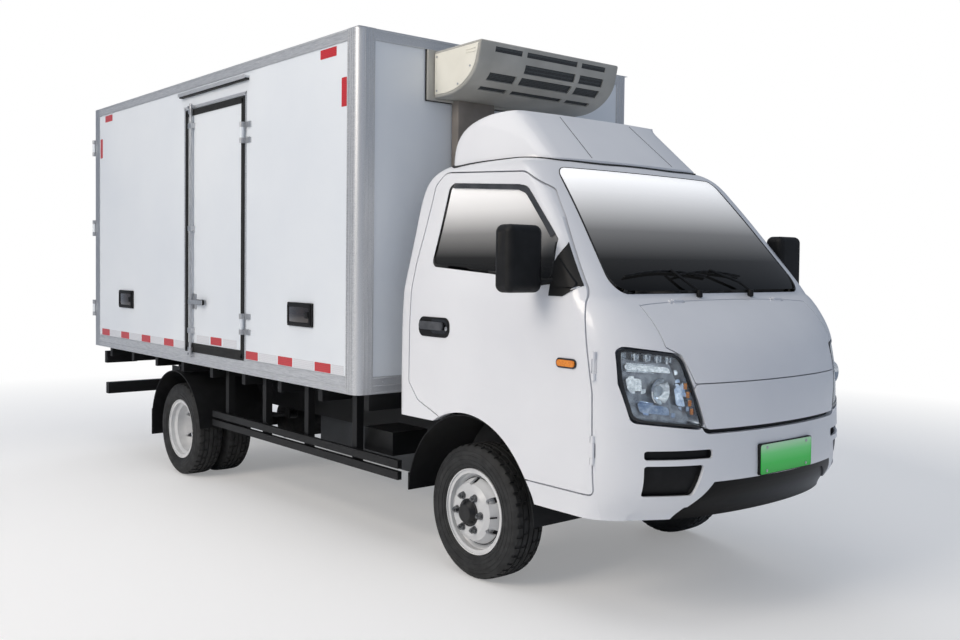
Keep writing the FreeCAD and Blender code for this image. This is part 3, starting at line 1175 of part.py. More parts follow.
def rear_doors(rear, wide, base, head):
    gap, wall = s.door_gap, s.wall_thickness
    x, y = rear_axis()
    low, high = box_edges()[3:5]
    height = s.hinge_height
    taper = s.rear_taper
    points = [(rear, gap / 2), (rear, wide - gap), (rear + wall, wide - gap), (rear + wall, gap / 2 + taper)]
    wire = Part.makePolygon([Vector(a, b, base + gap) for a, b in points + points[:1]])
    door = Part.Face(wire).extrude(Vector(0, 0, head - base - 2 * gap))
    parts, bores = [], []
    for share in s_hinge_shares():
        z = low + (high - low) * share - height / 2
        parts.append(Part.makeCylinder(s.hinge_barrel_radius, height, Vector(x, y, z)))
        back = x + s.strap_thickness
        parts.append(slab((x, back), (wide - gap - s.hinge_strap_length, y), (z, z + height)))
        parts.append(slab((back, rear), (wide - gap - s.hinge_strap_length, wide - gap), (z, z + height)))
        bores.append(Part.makeCylinder(s.hinge_pin_radius + s.stub_clearance, 2 * height, Vector(x, y, z - height / 2)))
    door = door.fuse(parts).cut(bores)
    rod_x, rod_y = rear - s.lock_rod_standoff, s.rear_rod_inset
    z0, z1 = base, head
    lock = Part.makeCylinder(s.lock_rod_radius, z1 - z0 + 2 * s.lock_rod_overlap, Vector(rod_x, rod_y, z0 - s.lock_rod_overlap))
    guides = []
    for share in (0.08, 0.5, 0.92):
        z = z0 + (z1 - z0) * share
        guides.append(slab((rod_x - s.lock_rod_radius, rear), (rod_y - s.lock_guide_length / 2, rod_y + s.lock_guide_length / 2),
                           (z, z + s.lock_guide_height)))
    z = z0 + (z1 - z0) * s.lock_handle_share
    handle = slab((rod_x - s.lock_rod_radius - s.lock_handle_thickness / 2, rod_x), (rod_y, rod_y + s.lock_handle_length),
                  (z, z + s.lock_handle_height))
    lock = lock.fuse(guides + [handle])
    for name, turn in (("left", lambda shape: shape), ("right", mirrored)):
        piece(f"rear_door_{name}", shaped(f"rear_door_{name[0]}", turn(door)))
        piece(f"rear_lock_{name}", shaped(f"rear_lock_{name[0]}", turn(lock)))


def refrigeration_unit():
    """Condenser housing with its slanted slotted face, mounting plate and hose cover on the front wall."""
    wall, top = -s.box_setback, s.box_bottom_height + s.box_height
    front = wall + s.unit_depth
    high, low = top - s.unit_top_drop, top - s.unit_top_drop - s.unit_height
    shares = [(0, 0), (0.6, -0.015), (0.84, 0.45), (0.965, 0.75), (1.0, 0.87), (1.0, 1.0), (0, 0.965)]
    points = [(wall + s.seat_gap + a * s.unit_depth, low + b * s.unit_height) for a, b in shares]
    half = s.unit_width / 2
    body = prism_y(points, -half, half, [0, s.small_round, s.small_round, s.small_round, s.small_round / 2, s.small_round / 2, 0])
    plan = [(wall, -half), (wall, half), (front - s.corner_radius * 2, half), (front + 1, half * 0.86),
            (front + 1, -half * 0.86), (front - s.corner_radius * 2, -half)]
    wire = rounded(plan, [0, 0, s.corner_radius, s.corner_radius, s.corner_radius, s.corner_radius],
                   lambda p: Vector(p.x, p.y, low - s.overrun))
    body = body.common(Part.Face(wire).extrude(Vector(0, 0, s.unit_height * 2)))
    slots = []
    face = [(wall + a * s.unit_depth, low + b * s.unit_height) for a, b in shares[1:5]]
    columns = ((-0.80, -0.30), (-0.25, 0.25), (0.30, 0.80))
    rows = int(s.slot_rows)
    for i in range(rows):
        z = low + s.unit_height * (s.slot_start + i * s.slot_step)
        def surface(level):
            for (xa, za), (xb, zb) in zip(face, face[1:]):
                if za <= level <= zb:
                    return xa + (xb - xa) * (level - za) / (zb - za)
            return front
        a, b = surface(z), surface(z + s.slot_height)
        far = front + s.overrun
        outline = [(a - s.slot_depth, z), (far, z), (far, z + s.slot_height), (b - s.slot_depth, z + s.slot_height)]
        for left_end, right_end in columns:
            slots.append(prism_y(outline, left_end * half, right_end * half))
    body = body.cut(slots)
    plate_half = s.unit_plate_width / 2
    plate = slab((wall + s.seat_gap, wall + s.unit_plate_depth), (-plate_half, plate_half), (low - s.small_round, high))
    cover_y = (-s.hose_cover_offset - s.hose_cover_width / 2, -s.hose_cover_offset + s.hose_cover_width / 2)
    base = low - s.hose_cover_height + s.small_round
    cover = slab((wall + s.seat_gap, wall + s.hose_cover_depth), cover_y, (base, low + s.small_round))
    cover = cover.makeFillet(s.small_round / 2, [e for e in cover.Edges if e.CenterOfMass.x > wall + s.hose_cover_depth - 1])
    piece("refrigeration_unit", shaped("cooler", body.fuse([plate, cover])))
    inner = wall - s.wall_thickness
    ceiling = top - s.roof_thickness
    wide = s.evaporator_width / 2
    outline = [(inner - s.seat_gap, ceiling - s.seat_gap), (inner - s.seat_gap - s.evaporator_depth, ceiling - s.seat_gap),
               (inner - s.seat_gap - s.evaporator_depth, ceiling - s.evaporator_height / 2),
               (inner - s.seat_gap - s.evaporator_depth / 2, ceiling - s.evaporator_height),
               (inner - s.seat_gap, ceiling - s.evaporator_height)]
    piece("evaporator", shaped("inside_cooler", prism_y(outline, -wide, wide, s.small_round / 2)))


# Under the body

def battery():
    top = "frame_top_height - rail_height + rail_wall"
    size = ("battery_length", "battery_width", "battery_height")
    at = ("-battery_setback - battery_length", "-battery_width / 2", f"{top} - battery_height")
    return piece("battery_pack", together("battery", block("battery_case", size, at)))


def service_box():
    arm = "service_box_outer - service_box_width - frame_width / 2"
    case = block("service_case", ("service_box_length", "service_box_width", "service_box_height"),
                 ("-service_box_front - service_box_length", "-service_box_outer", "service_box_bottom"))
    shelf = block("service_shelf", ("service_box_length / 2", arm, "rail_wall * 2"),
                  ("-service_box_front - service_box_length * 3 / 4", "-service_box_outer + service_box_width",
                   "service_box_bottom + service_box_height / 2"))
    return piece("service_box", fuse("service", case, shelf))


def side_guards():
    """On each side two close rails on posts that hang from the cross bearers."""
    groups = []
    for side in ("r", "l"):
        outer = "-guard_offset" if side == "r" else "guard_offset - guard_rail_depth"
        behind = "-guard_offset + guard_rail_depth" if side == "r" else "guard_offset - guard_rail_depth - guard_post_width"
        parts = []
        for i, base in enumerate(("guard_bottom", "guard_bottom + guard_rail_height + guard_rail_gap")):
            size = ("guard_length", "guard_rail_depth", "guard_rail_height")
            parts.append(block(f"guard_rail_{side}{i}", size, ("-guard_front - guard_length", outer, base)))
        for i in range(int(s.guard_post_count)):
            share = f"(guard_length - guard_post_inset - guard_front) * {i} / (guard_post_count - 1)"
            size = ("guard_post_width", "guard_post_width", "box_bottom_height - guard_bottom")
            at = (f"-guard_front - guard_length + guard_post_inset + {share}", behind, "guard_bottom")
            parts.append(block(f"guard_post_{side}{i}", size, at))
        groups.append(fuse(f"guard_{side}", *parts))
    return piece("side_guards", together("guards", *groups))


def underrun_guard():
    tail = "-(box_setback + box_length)"
    bar = block("underrun_bar", ("underrun_depth", "underrun_width", "underrun_height"),
                (f"{tail} + underrun_setback", "-underrun_width / 2", "underrun_bottom"))
    parts = [bar]
    for side, at in (("l", "underrun_post_offset"), ("r", "-underrun_post_offset - underrun_post_width")):
        size = ("frame_tail_gap + underrun_depth", "underrun_post_width / 4", "frame_top_height - underrun_bottom - rail_wall")
        place_y = "frame_width / 2" if side == "l" else "-frame_width / 2 - underrun_post_width / 4"
        parts.append(block(f"underrun_post_{side}", size, (f"{tail} + underrun_setback", place_y, "underrun_bottom")))
    return piece("underrun_guard", fuse("underrun", *parts))


def tail_lamps():
    """Two lamp boxes and the number plate's light bar, hung under the box's rear edge."""
    tail = "-(box_setback + box_length)"
    lamps = []
    for side, at in (("l", "lamp_bar_outer - lamp_bar_width"), ("r", "-lamp_bar_outer")):
        case = block(f"lamp_case_{side}", ("lamp_bar_depth", "lamp_bar_width", "lamp_bar_height"),
                     (f"{tail} + underrun_setback", at, "lamp_bar_bottom"))
        bracket = block(f"lamp_bracket_{side}", ("lamp_bar_depth / 4", "lamp_bar_width / 2",
                        "box_bottom_height - lamp_bar_bottom - lamp_bar_height"),
                        (f"{tail} + underrun_setback", f"{at} + lamp_bar_width / 4", "lamp_bar_bottom + lamp_bar_height"))
        lamps.append(fuse(f"tail_lamp_{side}", case, bracket))
    return piece("tail_lamps", together("lamp_cases", *lamps))


def mudguards():
    """Front arch liners with flaps and rear half-round guards with flaps."""
    shapes = []
    outer = s.arch_radius - s.liner_clearance
    centre = Vector(s.arch_offset, s.liner_inner, s.arch_height)
    width = s.liner_outer - s.liner_inner
    ring = Part.makeCylinder(outer, width, centre, Vector(0, 1, 0)).cut(
        Part.makeCylinder(outer - s.liner_thickness, width, centre, Vector(0, 1, 0)))
    ring = ring.common(slab((-s.wheelbase, s.front_overhang), (0, s.front_overhang), (s.liner_low, s.front_overhang)))
    flap = slab((s.arch_offset - outer, s.arch_offset - outer + s.flap_thickness),
                (s.liner_inner, s.liner_outer), (s.front_flap_bottom, s.arch_height + s.overrun * 3))
    hanger = slab((s.arch_offset - s.small_round, s.arch_offset + s.small_round),
                  (s.liner_inner, s.liner_inner + s.small_round),
                  (s.arch_height + outer - s.liner_thickness, s.seat_platform_height - s.cab_floor_thickness))
    shapes.append(ring.fuse([flap, hanger]))
    x = -s.wheelbase
    centre = Vector(x, s.fender_outer - s.fender_width, s.tyre_radius)
    guard = Part.makeCylinder(s.fender_radius, s.fender_width, centre, Vector(0, 1, 0)).cut(
        Part.makeCylinder(s.fender_radius - s.fender_thickness, s.fender_width, centre, Vector(0, 1, 0)))
    guard = guard.common(slab((x - s.fender_radius, x + s.fender_radius), (0, s.front_overhang),
                              (s.tyre_radius + s.fender_cut, s.front_overhang)))
    guard = guard.cut(slab((x - s.fender_radius, x + s.fender_radius), (0, s.front_overhang),
                           (s.box_bottom_height - s.cross_bearer_height - s.seat_gap, s.front_overhang)))
    back = x - s.fender_radius
    strip = slab((back, back + s.flap_thickness), (s.fender_outer - s.fender_width, s.fender_outer),
                 (s.flap_bottom, s.tyre_radius + s.fender_cut + s.overrun))
    stay_top = s.tyre_radius + s.fender_radius - s.fender_thickness
    stay = slab((x - s.small_round, x + s.small_round), (s.frame_width / 2, s.fender_outer - s.fender_width + s.overrun),
                (stay_top - s.small_round, stay_top + s.fender_thickness / 2))
    shapes.append(guard.fuse([strip, stay]))
    solids = [solid for shape in shapes for solid in shape.Solids]
    solids += [mirrored(solid) for solid in solids]
    piece("mudguards", shaped("arch_liners", Part.makeCompound(solids)))


# Inside the cab

def steering_wheel():
    """Ring, spokes and hub on an axis that leans back to the driver, and the column for the dashboard."""
    tilt = math.radians(s.wheel_tilt)
    axis = Vector(-math.sin(tilt), 0, math.cos(tilt))
    centre = Vector(s.wheel_x, s.driver_y, s.wheel_height)
    ring = Part.makeTorus(s.wheel_ring_radius, s.wheel_ring_thickness, centre, axis)
    across = Vector(math.cos(tilt), 0, math.sin(tilt))
    turn = Rotation(Vector(0, 1, 0), -s.wheel_tilt)
    parts = []
    reach, wide, thick = s.wheel_ring_radius, s.wheel_spoke_width, s.wheel_spoke_thickness
    for angle in (0, 90, 180):
        spoke = Part.makeBox(wide, reach, thick, Vector(-wide / 2, 0, -thick / 2))
        spoke.rotate(Vector(0, 0, 0), Vector(0, 0, 1), angle)
        spoke.Placement = Placement(centre, turn).multiply(spoke.Placement)
        parts.append(spoke)
    hub = Part.makeCylinder(s.wheel_hub_radius, s.wheel_hub_depth, centre - axis * s.wheel_hub_depth * 0.6, axis)
    solid = ring.fuse(parts + [hub])
    piece("steering_wheel", shaped("steering", solid))
    return centre - axis * (s.wheel_hub_depth * 0.6 + s.seat_gap), axis


def dashboard(start, axis):
    """Dashboard with the steering column that carries the wheel."""
    rear = s.firewall_setback - s.dash_depth - s.seat_gap
    front = s.firewall_setback - s.seat_gap
    points = [(rear, s.dash_top - s.dash_height), (front, s.dash_top - s.dash_height), (front, s.dash_top), (rear, s.dash_top)]
    half = s.dash_width / 2
    body = prism_y(points, -half, half, [s.dash_round / 2, 0, 0, s.dash_round])
    column = Part.makeCylinder(s.column_radius, s.column_length, start - axis * s.column_length, axis)
    body = body.fuse(column).common(full(s.cab_floor_height, s.cowl_height, x_high=front))
    body = body.common(skin_at(s.cab_wall + s.seat_gap))
    piece("dashboard", shaped("dash", biggest(body)))


def seats():
    """Driver's seat and a double bench on the raised floor."""
    base, front = s.seat_platform_height, s.seat_front
    shapes = []
    rows = ((s.driver_y - s.driver_seat_width / 2, s.driver_seat_width),
            (s.driver_y - s.driver_seat_width / 2 - s.bench_gap - s.bench_width, s.bench_width))
    for low, width in rows:
        cushion = Part.makeBox(s.seat_cushion_depth, width, s.seat_cushion_height,
                               Vector(front - s.seat_cushion_depth, low, base + s.seat_base_height))
        cushion = cushion.makeFillet(s.seat_round, [e for e in cushion.Edges if e.CenterOfMass.z > base + s.seat_cushion_height])
        foot = slab((front - s.seat_cushion_depth + s.overrun, front - s.overrun), (low + s.overrun, low + width - s.overrun),
                    (base, base + s.seat_base_height + s.overrun))
        back = Part.makeBox(s.seat_back_thickness, width, s.seat_back_height, Vector(0, 0, 0))
        back = back.makeFillet(s.seat_round, back.Edges)
        back.rotate(Vector(0, 0, 0), Vector(0, 1, 0), -s.seat_back_lean)
        back.translate(Vector(front - s.seat_cushion_depth, low, base + s.seat_cushion_height))
        shapes.append(cushion.fuse([foot, back]))
    piece("seats", shaped("seat_set", Part.makeCompound(shapes)))


def wipers():
    """Two parked arms with blades just above the windscreen."""
    solids = []
    for pivot, tip in ((s.wiper_near, s.wiper_near_tip), (s.wiper_far, s.wiper_far_tip)):
        start = Vector(s.wiper_base_x, pivot, s.wiper_base_z)
        end = Vector(s.wiper_tip_x, tip, s.wiper_tip_z)
        run = end - start
        arm = Part.makeCylinder(s.wiper_radius, run.Length, start, run)
        pin = Part.makeCylinder(s.wiper_pivot_radius, s.overrun, start - Vector(0, 0, s.overrun - s.wiper_radius))
        solids.append(arm.fuse(pin))
    shape = Part.makeCompound(solids).cut(skin_at(0)).cut(skin_at(-s.seat_gap))
    piece("wipers", shaped("wiper_set", Part.makeCompound(shape.Solids)))


front_axle()
knuckle()
tie_rod()
rear_axle()
chassis_frame(springs())
box_bearers()
wheels()
battery()
service_box()
side_guards()
underrun_guard()
tail_lamps()
mudguards()
cab()
roof_fairing()
cargo_box()
refrigeration_unit()
dashboard(*steering_wheel())
seats()
wipers()

DOC.recompute()
os.makedirs("parts", exist_ok=True)
for old in os.listdir("parts"):
    if old.endswith(".step"):
        os.remove(os.path.join("parts", old))
for thing in DOC.Objects:
    if "Invalid" in thing.State or "Error" in thing.State:
        raise ValueError(f"{thing.Label} isn't built: {thing.State}")
faults = []
for thing in PIECES:
    shape = thing.Shape
    if shape.isNull() or not shape.isValid() or not shape.Solids:
        faults.append(thing.Label)
        continue
    shape.exportStep(os.path.join("parts", thing.Label + ".step"))
    box = shape.BoundBox
    print(f"{thing.Label:22s} {len(shape.Solids):2d} solids  "
          f"x {box.XMin:8.1f} {box.XMax:8.1f}  y {box.YMin:8.1f} {box.YMax:8.1f}  z {box.ZMin:7.1f} {box.ZMax:7.1f}")
if faults:
    raise ValueError("no sound solid: " + ", ".join(faults))
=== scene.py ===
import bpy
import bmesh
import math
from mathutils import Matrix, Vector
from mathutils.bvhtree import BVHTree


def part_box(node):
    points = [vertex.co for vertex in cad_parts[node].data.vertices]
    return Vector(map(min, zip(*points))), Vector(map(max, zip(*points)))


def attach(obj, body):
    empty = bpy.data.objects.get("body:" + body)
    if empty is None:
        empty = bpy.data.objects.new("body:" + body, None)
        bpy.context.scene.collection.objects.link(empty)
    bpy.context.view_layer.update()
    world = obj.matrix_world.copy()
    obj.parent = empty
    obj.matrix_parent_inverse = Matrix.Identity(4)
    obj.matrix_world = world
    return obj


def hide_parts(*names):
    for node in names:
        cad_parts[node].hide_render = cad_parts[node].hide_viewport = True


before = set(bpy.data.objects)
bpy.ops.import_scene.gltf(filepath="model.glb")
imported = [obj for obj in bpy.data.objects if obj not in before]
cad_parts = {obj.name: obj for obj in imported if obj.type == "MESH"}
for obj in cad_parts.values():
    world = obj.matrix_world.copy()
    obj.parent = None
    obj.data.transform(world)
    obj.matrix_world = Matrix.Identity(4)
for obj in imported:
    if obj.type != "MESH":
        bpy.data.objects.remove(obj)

# %% [markdown]
# # A refrigerated light truck
# The real vehicle is a small two-axle truck: a short-nosed white cab, a white insulated box with aluminium
# edges, and a cooling unit that hangs over the cab's roof. The CAD model already holds every panel at its
# real place. This script gives each panel its finish and adds the small things that an eye looks for:
# seals, lamps, nuts, reflectors, handles and treads.

bpy.ops.object.select_all(action="DESELECT")
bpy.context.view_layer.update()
tyre_low, tyre_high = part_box("tyre_front_left")
front_axle, axle_height = (tyre_low.x + tyre_high.x) / 2, 0.327
rear_axle = front_axle - 3.105
box_front = front_axle - 0.658
box_rear = box_front - 3.865
box_side = 1.026
floor_z, roof_z = 0.836, 2.742
SIDES = (("left", 1), ("right", -1))

# %% [markdown]
# ## Camera
# The photograph was taken from the front right, a little under head height, with a lens of about 37 mm on a
# full-frame camera. The principal point lies slightly off the middle, so the lens is shifted by a few pixels.

# %% Camera at the photograph's place
camera_data = bpy.data.cameras.new("photo_camera")
camera = bpy.data.objects.new("photo_camera", camera_data)
bpy.context.collection.objects.link(camera)
bpy.context.scene.camera = camera
azimuth, elevation, roll = math.radians(50.485), math.radians(1.805), math.radians(0.628)
level = Vector((-math.sin(azimuth), math.cos(azimuth), 0))
ahead = level * math.cos(elevation) - Vector((0, 0, math.sin(elevation)))
across = ahead.cross(Vector((0, 0, 1))).normalized()
upward = across.cross(ahead)
right = across * math.cos(roll) + upward * math.sin(roll)
up = upward * math.cos(roll) - across * math.sin(roll)
turn = Matrix((right, up, -ahead)).transposed().to_4x4()
camera.matrix_world = Matrix.Translation((front_axle + 3.659, -3.858, 1.519)) @ turn
camera_data.sensor_width = 36.0
camera_data.lens = 37.27
camera_data.shift_x, camera_data.shift_y = 0.0144, -0.0243
camera_data.clip_end = 100.0
print("camera at", [round(v, 3) for v in camera.location])

# %% [markdown]
# ## Finishes
# A finish is built from nodes. One function adds a node with its settings and links, and one turns a colour
# as a painter would write it into the linear numbers that the renderer wants.

# %% Colour and node helpers


def paint(code):
    """Linear red, green and blue from a six-figure sRGB code."""
    parts = [int(code[i:i + 2], 16) / 255 for i in (0, 2, 4)]
    return tuple(c / 12.92 if c <= 0.04045 else ((c + 0.055) / 1.055) ** 2.4 for c in parts) + (1.0,)


def add(tree, kind, settings=None, links=None):
    """A node with its properties, its socket values and its incoming links."""
    node = tree.nodes.new(kind)
    for name, value in (settings or {}).items():
        if name in node.inputs:
            node.inputs[name].default_value = value
        elif name.isdigit():
            node.inputs[int(name)].default_value = value
        else:
            setattr(node, name, value)
    for name, source in (links or {}).items():
        tree.links.new(source, node.inputs[int(name) if name.isdigit() else name])
    return node


def finish(name, colour, roughness, **sockets):
    """A new material with its shader: returns the material, its node tree and the shader."""
    material = bpy.data.materials.new(name)
    material.use_nodes = True
    tree = material.node_tree
    shader = tree.nodes["Principled BSDF"]
    shader.inputs["Base Color"].default_value = paint(colour)
    shader.inputs["Roughness"].default_value = roughness
    for socket, value in sockets.items():
        shader.inputs[socket.replace("_", " ")].default_value = value
    return material, tree, shader


def place_in(tree):
    """The place in the object's own space."""
    return add(tree, "ShaderNodeTexCoord").outputs["Object"]


def grain(tree, scale_mm, detail=4.0, stretch=(1, 1, 1)):
    """Noise whose cells are about so many millimetres across, laid in the object's own space."""
    mapped = add(tree, "ShaderNodeMapping", {"Scale": stretch}, {"Vector": place_in(tree)})
    return add(tree, "ShaderNodeTexNoise", {"Scale": 1000.0 / scale_mm, "Detail": detail},
               {"Vector": mapped.outputs["Vector"]}).outputs["Fac"]


def shaded(tree, shader, factor, dark, light, low=0.35, high=0.65):
    """Gives the shader a colour from a ramp between two colours over part of a pattern's range."""
    ramp = add(tree, "ShaderNodeValToRGB", None, {"Fac": factor})
    first, last = ramp.color_ramp.elements
    first.position, last.position = low, high
    first.color, last.color = paint(dark), paint(light)
    tree.links.new(ramp.outputs["Color"], shader.inputs["Base Color"])


def bumped(tree, shader, height, strength, depth_mm):
    """Lets a pattern raise the surface by so many millimetres."""
    bump = add(tree, "ShaderNodeBump", {"Strength": strength, "Distance": depth_mm / 1000},
               {"Height": height})
    tree.links.new(bump.outputs["Normal"], shader.inputs["Normal"])


def varied(name, dark, light, roughness, spot_mm, bump_mm=0.0, bump_scale_mm=2.0, **sockets):
    """A finish whose colour drifts softly between two shades, with an optional fine surface."""
    material, tree, shader = finish(name, light, roughness, **sockets)
    shaded(tree, shader, grain(tree, spot_mm), dark, light)
    if bump_mm:
        bumped(tree, shader, grain(tree, bump_scale_mm, 3.0), 0.5, bump_mm)
    return material


# %% [markdown]
# ## Paint, laminate and metal
# The cab is sprayed gloss white with a clear coat. The box has smooth white laminate skins that are a touch
# bluer and flatter than the paint. Its edges are anodised extrusions, its locks brushed stainless steel.

# %% Painted and moulded body finishes
white_enamel = varied("white_two_coat_enamel", "DFE1E6", "E8EAEE", 0.32, 900, 0.015, 3.0,
                      Coat_Weight=0.6, Coat_Roughness=0.06)
white_laminate = varied("white_glass_fibre_laminate", "DDE3EA", "E6EBF0", 0.38, 1200, 0.03, 9.0,
                        Coat_Weight=0.25, Coat_Roughness=0.15)
cream_housing = varied("warm_white_moulded_housing", "DEDCD0", "E9E7DC", 0.42, 300, 0.02, 2.0)
black_grained = varied("black_grained_polypropylene", "0C0D0F", "151618", 0.55, 60, 0.12, 1.6,
                       Specular_IOR_Level=0.28)
black_rubber = varied("black_sealing_rubber", "131415", "1E1F20", 0.7, 40, 0.05, 1.0)
chassis_paint = varied("satin_black_chassis_paint", "0B0C0D", "17181A", 0.5, 220, 0.08, 4.0,
                       Specular_IOR_Level=0.3)
cast_iron = varied("dark_cast_iron", "1B1B1C", "2B2A29", 0.68, 35, 0.25, 3.0, Metallic=0.55)
spring_steel = varied("painted_spring_steel", "17181A", "26282B", 0.55, 60, 0.08, 2.5, Metallic=0.3)
battery_case = varied("powder_coated_case", "2A2D31", "363A3F", 0.55, 250, 0.06, 1.5)
wheel_enamel = varied("light_grey_wheel_enamel", "CACCCE", "DDDEDF", 0.36, 120, 0.03, 2.0,
                      Coat_Weight=0.3, Coat_Roughness=0.12)
dash_plastic = varied("dark_grey_dashboard_skin", "26272A", "34363A", 0.6, 50, 0.15, 1.4)
tail_lens = varied("red_lamp_acrylic", "7E0A0C", "A01013", 0.16, 30, Coat_Weight=0.8, Coat_Roughness=0.04)
print("moulded and painted finishes made")

# %% Metals with the marks of rolling and brushing


def drawn_metal(name, dark, light, roughness, stretch, line_mm, metal):
    """Bare metal whose fine lines run the way it was drawn or brushed."""
    material, tree, shader = finish(name, light, roughness, Metallic=metal)
    lines = grain(tree, line_mm, 6.0, stretch)
    shaded(tree, shader, lines, dark, light)
    bumped(tree, shader, lines, 0.25, 0.02)
    return material


aluminium = drawn_metal("anodised_aluminium", "BFC2C6", "D8DADD", 0.42, (0.05, 1, 1), 3.0, 0.65)
stainless = drawn_metal("brushed_stainless_steel", "ABAEB2", "CED0D3", 0.30, (1, 1, 0.05), 2.5, 0.8)
print("metals made")

# %% [markdown]
# ## Glass
# The windows are tinted. Here they look milky at the top, where they mirror the bright sky, and
# almost black near the bottom. That reflection is painted: a colour ramp over the height in the object's own
# space, with a painted glow, so it stays on the glass from every side.

# %% Tinted window glass


def up_the_height(tree, low_z, high_z, colours):
    """A colour that changes with height in even steps, from the first colour at the bottom to the last."""
    split = add(tree, "ShaderNodeSeparateXYZ", None, {"Vector": place_in(tree)})
    height = add(tree, "ShaderNodeMapRange", {"From Min": low_z, "From Max": high_z},
                 {"Value": split.outputs["Z"]})
    ramp = add(tree, "ShaderNodeValToRGB", None, {"Fac": height.outputs["Result"]})
    stops = ramp.color_ramp.elements
    stops[0].color, stops[1].color = paint(colours[0]), paint(colours[-1])
    for i, code in enumerate(colours[1:-1], 1):
        stops.new(i / (len(colours) - 1)).color = paint(code)
    return ramp.outputs["Color"]


def glass_with_painted_sky_reflection(name, low_z, high_z, colours, painted_glow):
    """Glass with a painted sky reflection: its colour runs from dark at the bottom to pale at the top, and a
    painted glow lifts it.
    """
    material, tree, shader = finish(name, colours[0], 0.06, Alpha=0.98, Specular_IOR_Level=0.14,
                                    Emission_Strength=painted_glow)
    # The ramp paints the sky's reflection into the colour, and the emission paints a glow.
    tint = up_the_height(tree, low_z, high_z, colours)
    tree.links.new(tint, shader.inputs["Base Color"])
    tree.links.new(tint, shader.inputs["Emission Color"])
    material.surface_render_method = "BLENDED"
    return material


# Painted sky reflection: black at the bottom of each window, white at the top, with a painted glow.
screen_glass = glass_with_painted_sky_reflection("windscreen_laminated_glass", 1.42, 1.95,
                            ("020202", "262626", "707070", "C6C6C6", "FFFFFF"), 0.42)
door_glass = glass_with_painted_sky_reflection("door_toughened_glass", 1.44, 1.90,
                          ("040404", "262626", "7C7C7C", "D2D2D2", "F6F6F6"), 0.18)

# %% [markdown]
# ## Which finish goes on which CAD node
# A table from each finish to the CAD nodes that wear it. Every CAD mesh gets smooth shading with its creases
# kept, so that turned and pressed parts don't look faceted.

# %% Finishes for the CAD nodes
wearers = (
    (cast_iron, "front_axle rear_axle knuckle_left knuckle_right"),
    (spring_steel, "tie_rod leaf_springs"),
    (chassis_paint, "chassis_frame box_bearers service_box side_guards underrun_guard"),
    (battery_case, "battery_pack"),
    (black_grained, "tail_lamps mudguards bumper_valance mirror_left mirror_right vent_hatches wipers"),
    (black_grained, "headlamps"),
    (white_enamel, "front_bumper front_panel hood cab_shell cab_door_left cab_door_right roof_fairing"),
    (screen_glass, "windscreen"),
    (door_glass, "door_glass_left door_glass_right"),
    (white_laminate, "box_wall_left box_wall_right box_front_wall box_roof"),
    (white_laminate, "side_door rear_door_left rear_door_right"),
    (aluminium, "box_floor box_edge_trim"),
    (stainless, "rear_portal side_door_lock side_hinges rear_lock_left rear_lock_right"),
    (cream_housing, "refrigeration_unit evaporator"),
    (dash_plastic, "steering_wheel dashboard seats"),
    (black_rubber, "tyre_front_left tyre_front_right tyre_rear_left tyre_rear_right"),
    (wheel_enamel, "rim_front_left rim_front_right rim_rear_left rim_rear_right"),
)
for material, names in wearers:
    for node in (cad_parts[name] for name in names.split()):
        node.data.materials.clear()
        node.data.materials.append(material)
        for polygon in node.data.polygons:
            polygon.use_smooth = True
        weld = node.modifiers.new("weld", "WELD")
        weld.merge_threshold = 0.00002
        crease = node.modifiers.new("crease", "EDGE_SPLIT")
        crease.split_angle = math.radians(24)
print("finished CAD nodes:", sum(len(names.split()) for _, names in wearers), "of", len(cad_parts))

# %% [markdown]
# ## Tools for small parts
# Most trim starts as a line that is drawn out vertex by vertex with extrude, as by hand. Closed, it becomes
# a face for a sheet or a seal. Spun, it becomes a tyre or a cap. A sheet that lies on the curved cab is cut
# into a grid first and then wrapped on to the CAD panel behind it, so it sits exactly on the skin.

# %% Starting and finishing a piece


def start_clean():
    """Object mode with nothing selected."""
    if bpy.context.object and bpy.context.object.mode != "OBJECT":
        bpy.ops.object.mode_set(mode="OBJECT")
    bpy.ops.object.select_all(action="DESELECT")


def take(piece):
    """Selects one piece alone and makes it the active one."""
    start_clean()
    piece.select_set(True)
    bpy.context.view_layer.objects.active = piece


def edit(piece, kind="VERT"):
    """Edit mode on one piece, with all its vertices, edges or faces selected."""
    take(piece)
    bpy.ops.object.mode_set(mode="EDIT")
    bpy.ops.mesh.select_mode(type=kind)
    bpy.ops.mesh.select_all(action="SELECT")


def pick(piece, test, kind="faces"):
    """In edit mode, selects just the faces, edges or vertices that pass a test."""
    bpy.ops.mesh.select_all(action="DESELECT")
    mesh = bmesh.from_edit_mesh(piece.data)
    mesh.normal_update()
    for item in getattr(mesh, "verts" if kind == "vertices" else kind):
        item.select_set(bool(test(item)))
    bmesh.update_edit_mesh(piece.data)


def leave(inside=None):
    """Back to object mode; if asked, all faces are first made to look outwards or inwards."""
    if inside is not None:
        bpy.ops.mesh.select_all(action="SELECT")
        bpy.ops.mesh.normals_make_consistent(inside=inside)
    bpy.ops.object.mode_set(mode="OBJECT")


def settle(piece, name, material, body="chassis", angle=30):
    """Names a finished piece, gives it its finish and its slot, and lets it ride on its body."""
    take(piece)
    piece.name = piece.data.name = name
    bpy.ops.object.transform_apply(location=True, rotation=True, scale=True)
    piece.data.materials.clear()
    piece.data.materials.append(material)
    bpy.ops.object.shade_smooth_by_angle(angle=math.radians(angle))
    piece.select_set(False)
    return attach(piece, body)


def joined(pieces):
    """One mesh of several."""
    take(pieces[0])
    for piece in pieces:
        piece.select_set(True)
    if len(pieces) > 1:
        bpy.ops.object.join()
    bpy.ops.object.transform_apply(location=True, rotation=True, scale=True)
    return bpy.context.object


def copy_of(piece, matrix):
    """A copy with a mesh of its own, moved by a matrix and turned right side out after mirroring."""
    twin = piece.copy()
    twin.data = piece.data.copy()
    bpy.context.collection.objects.link(twin)
    twin.data.transform(matrix)
    if matrix.determinant() < 0:
        twin.data.flip_normals()
    return twin


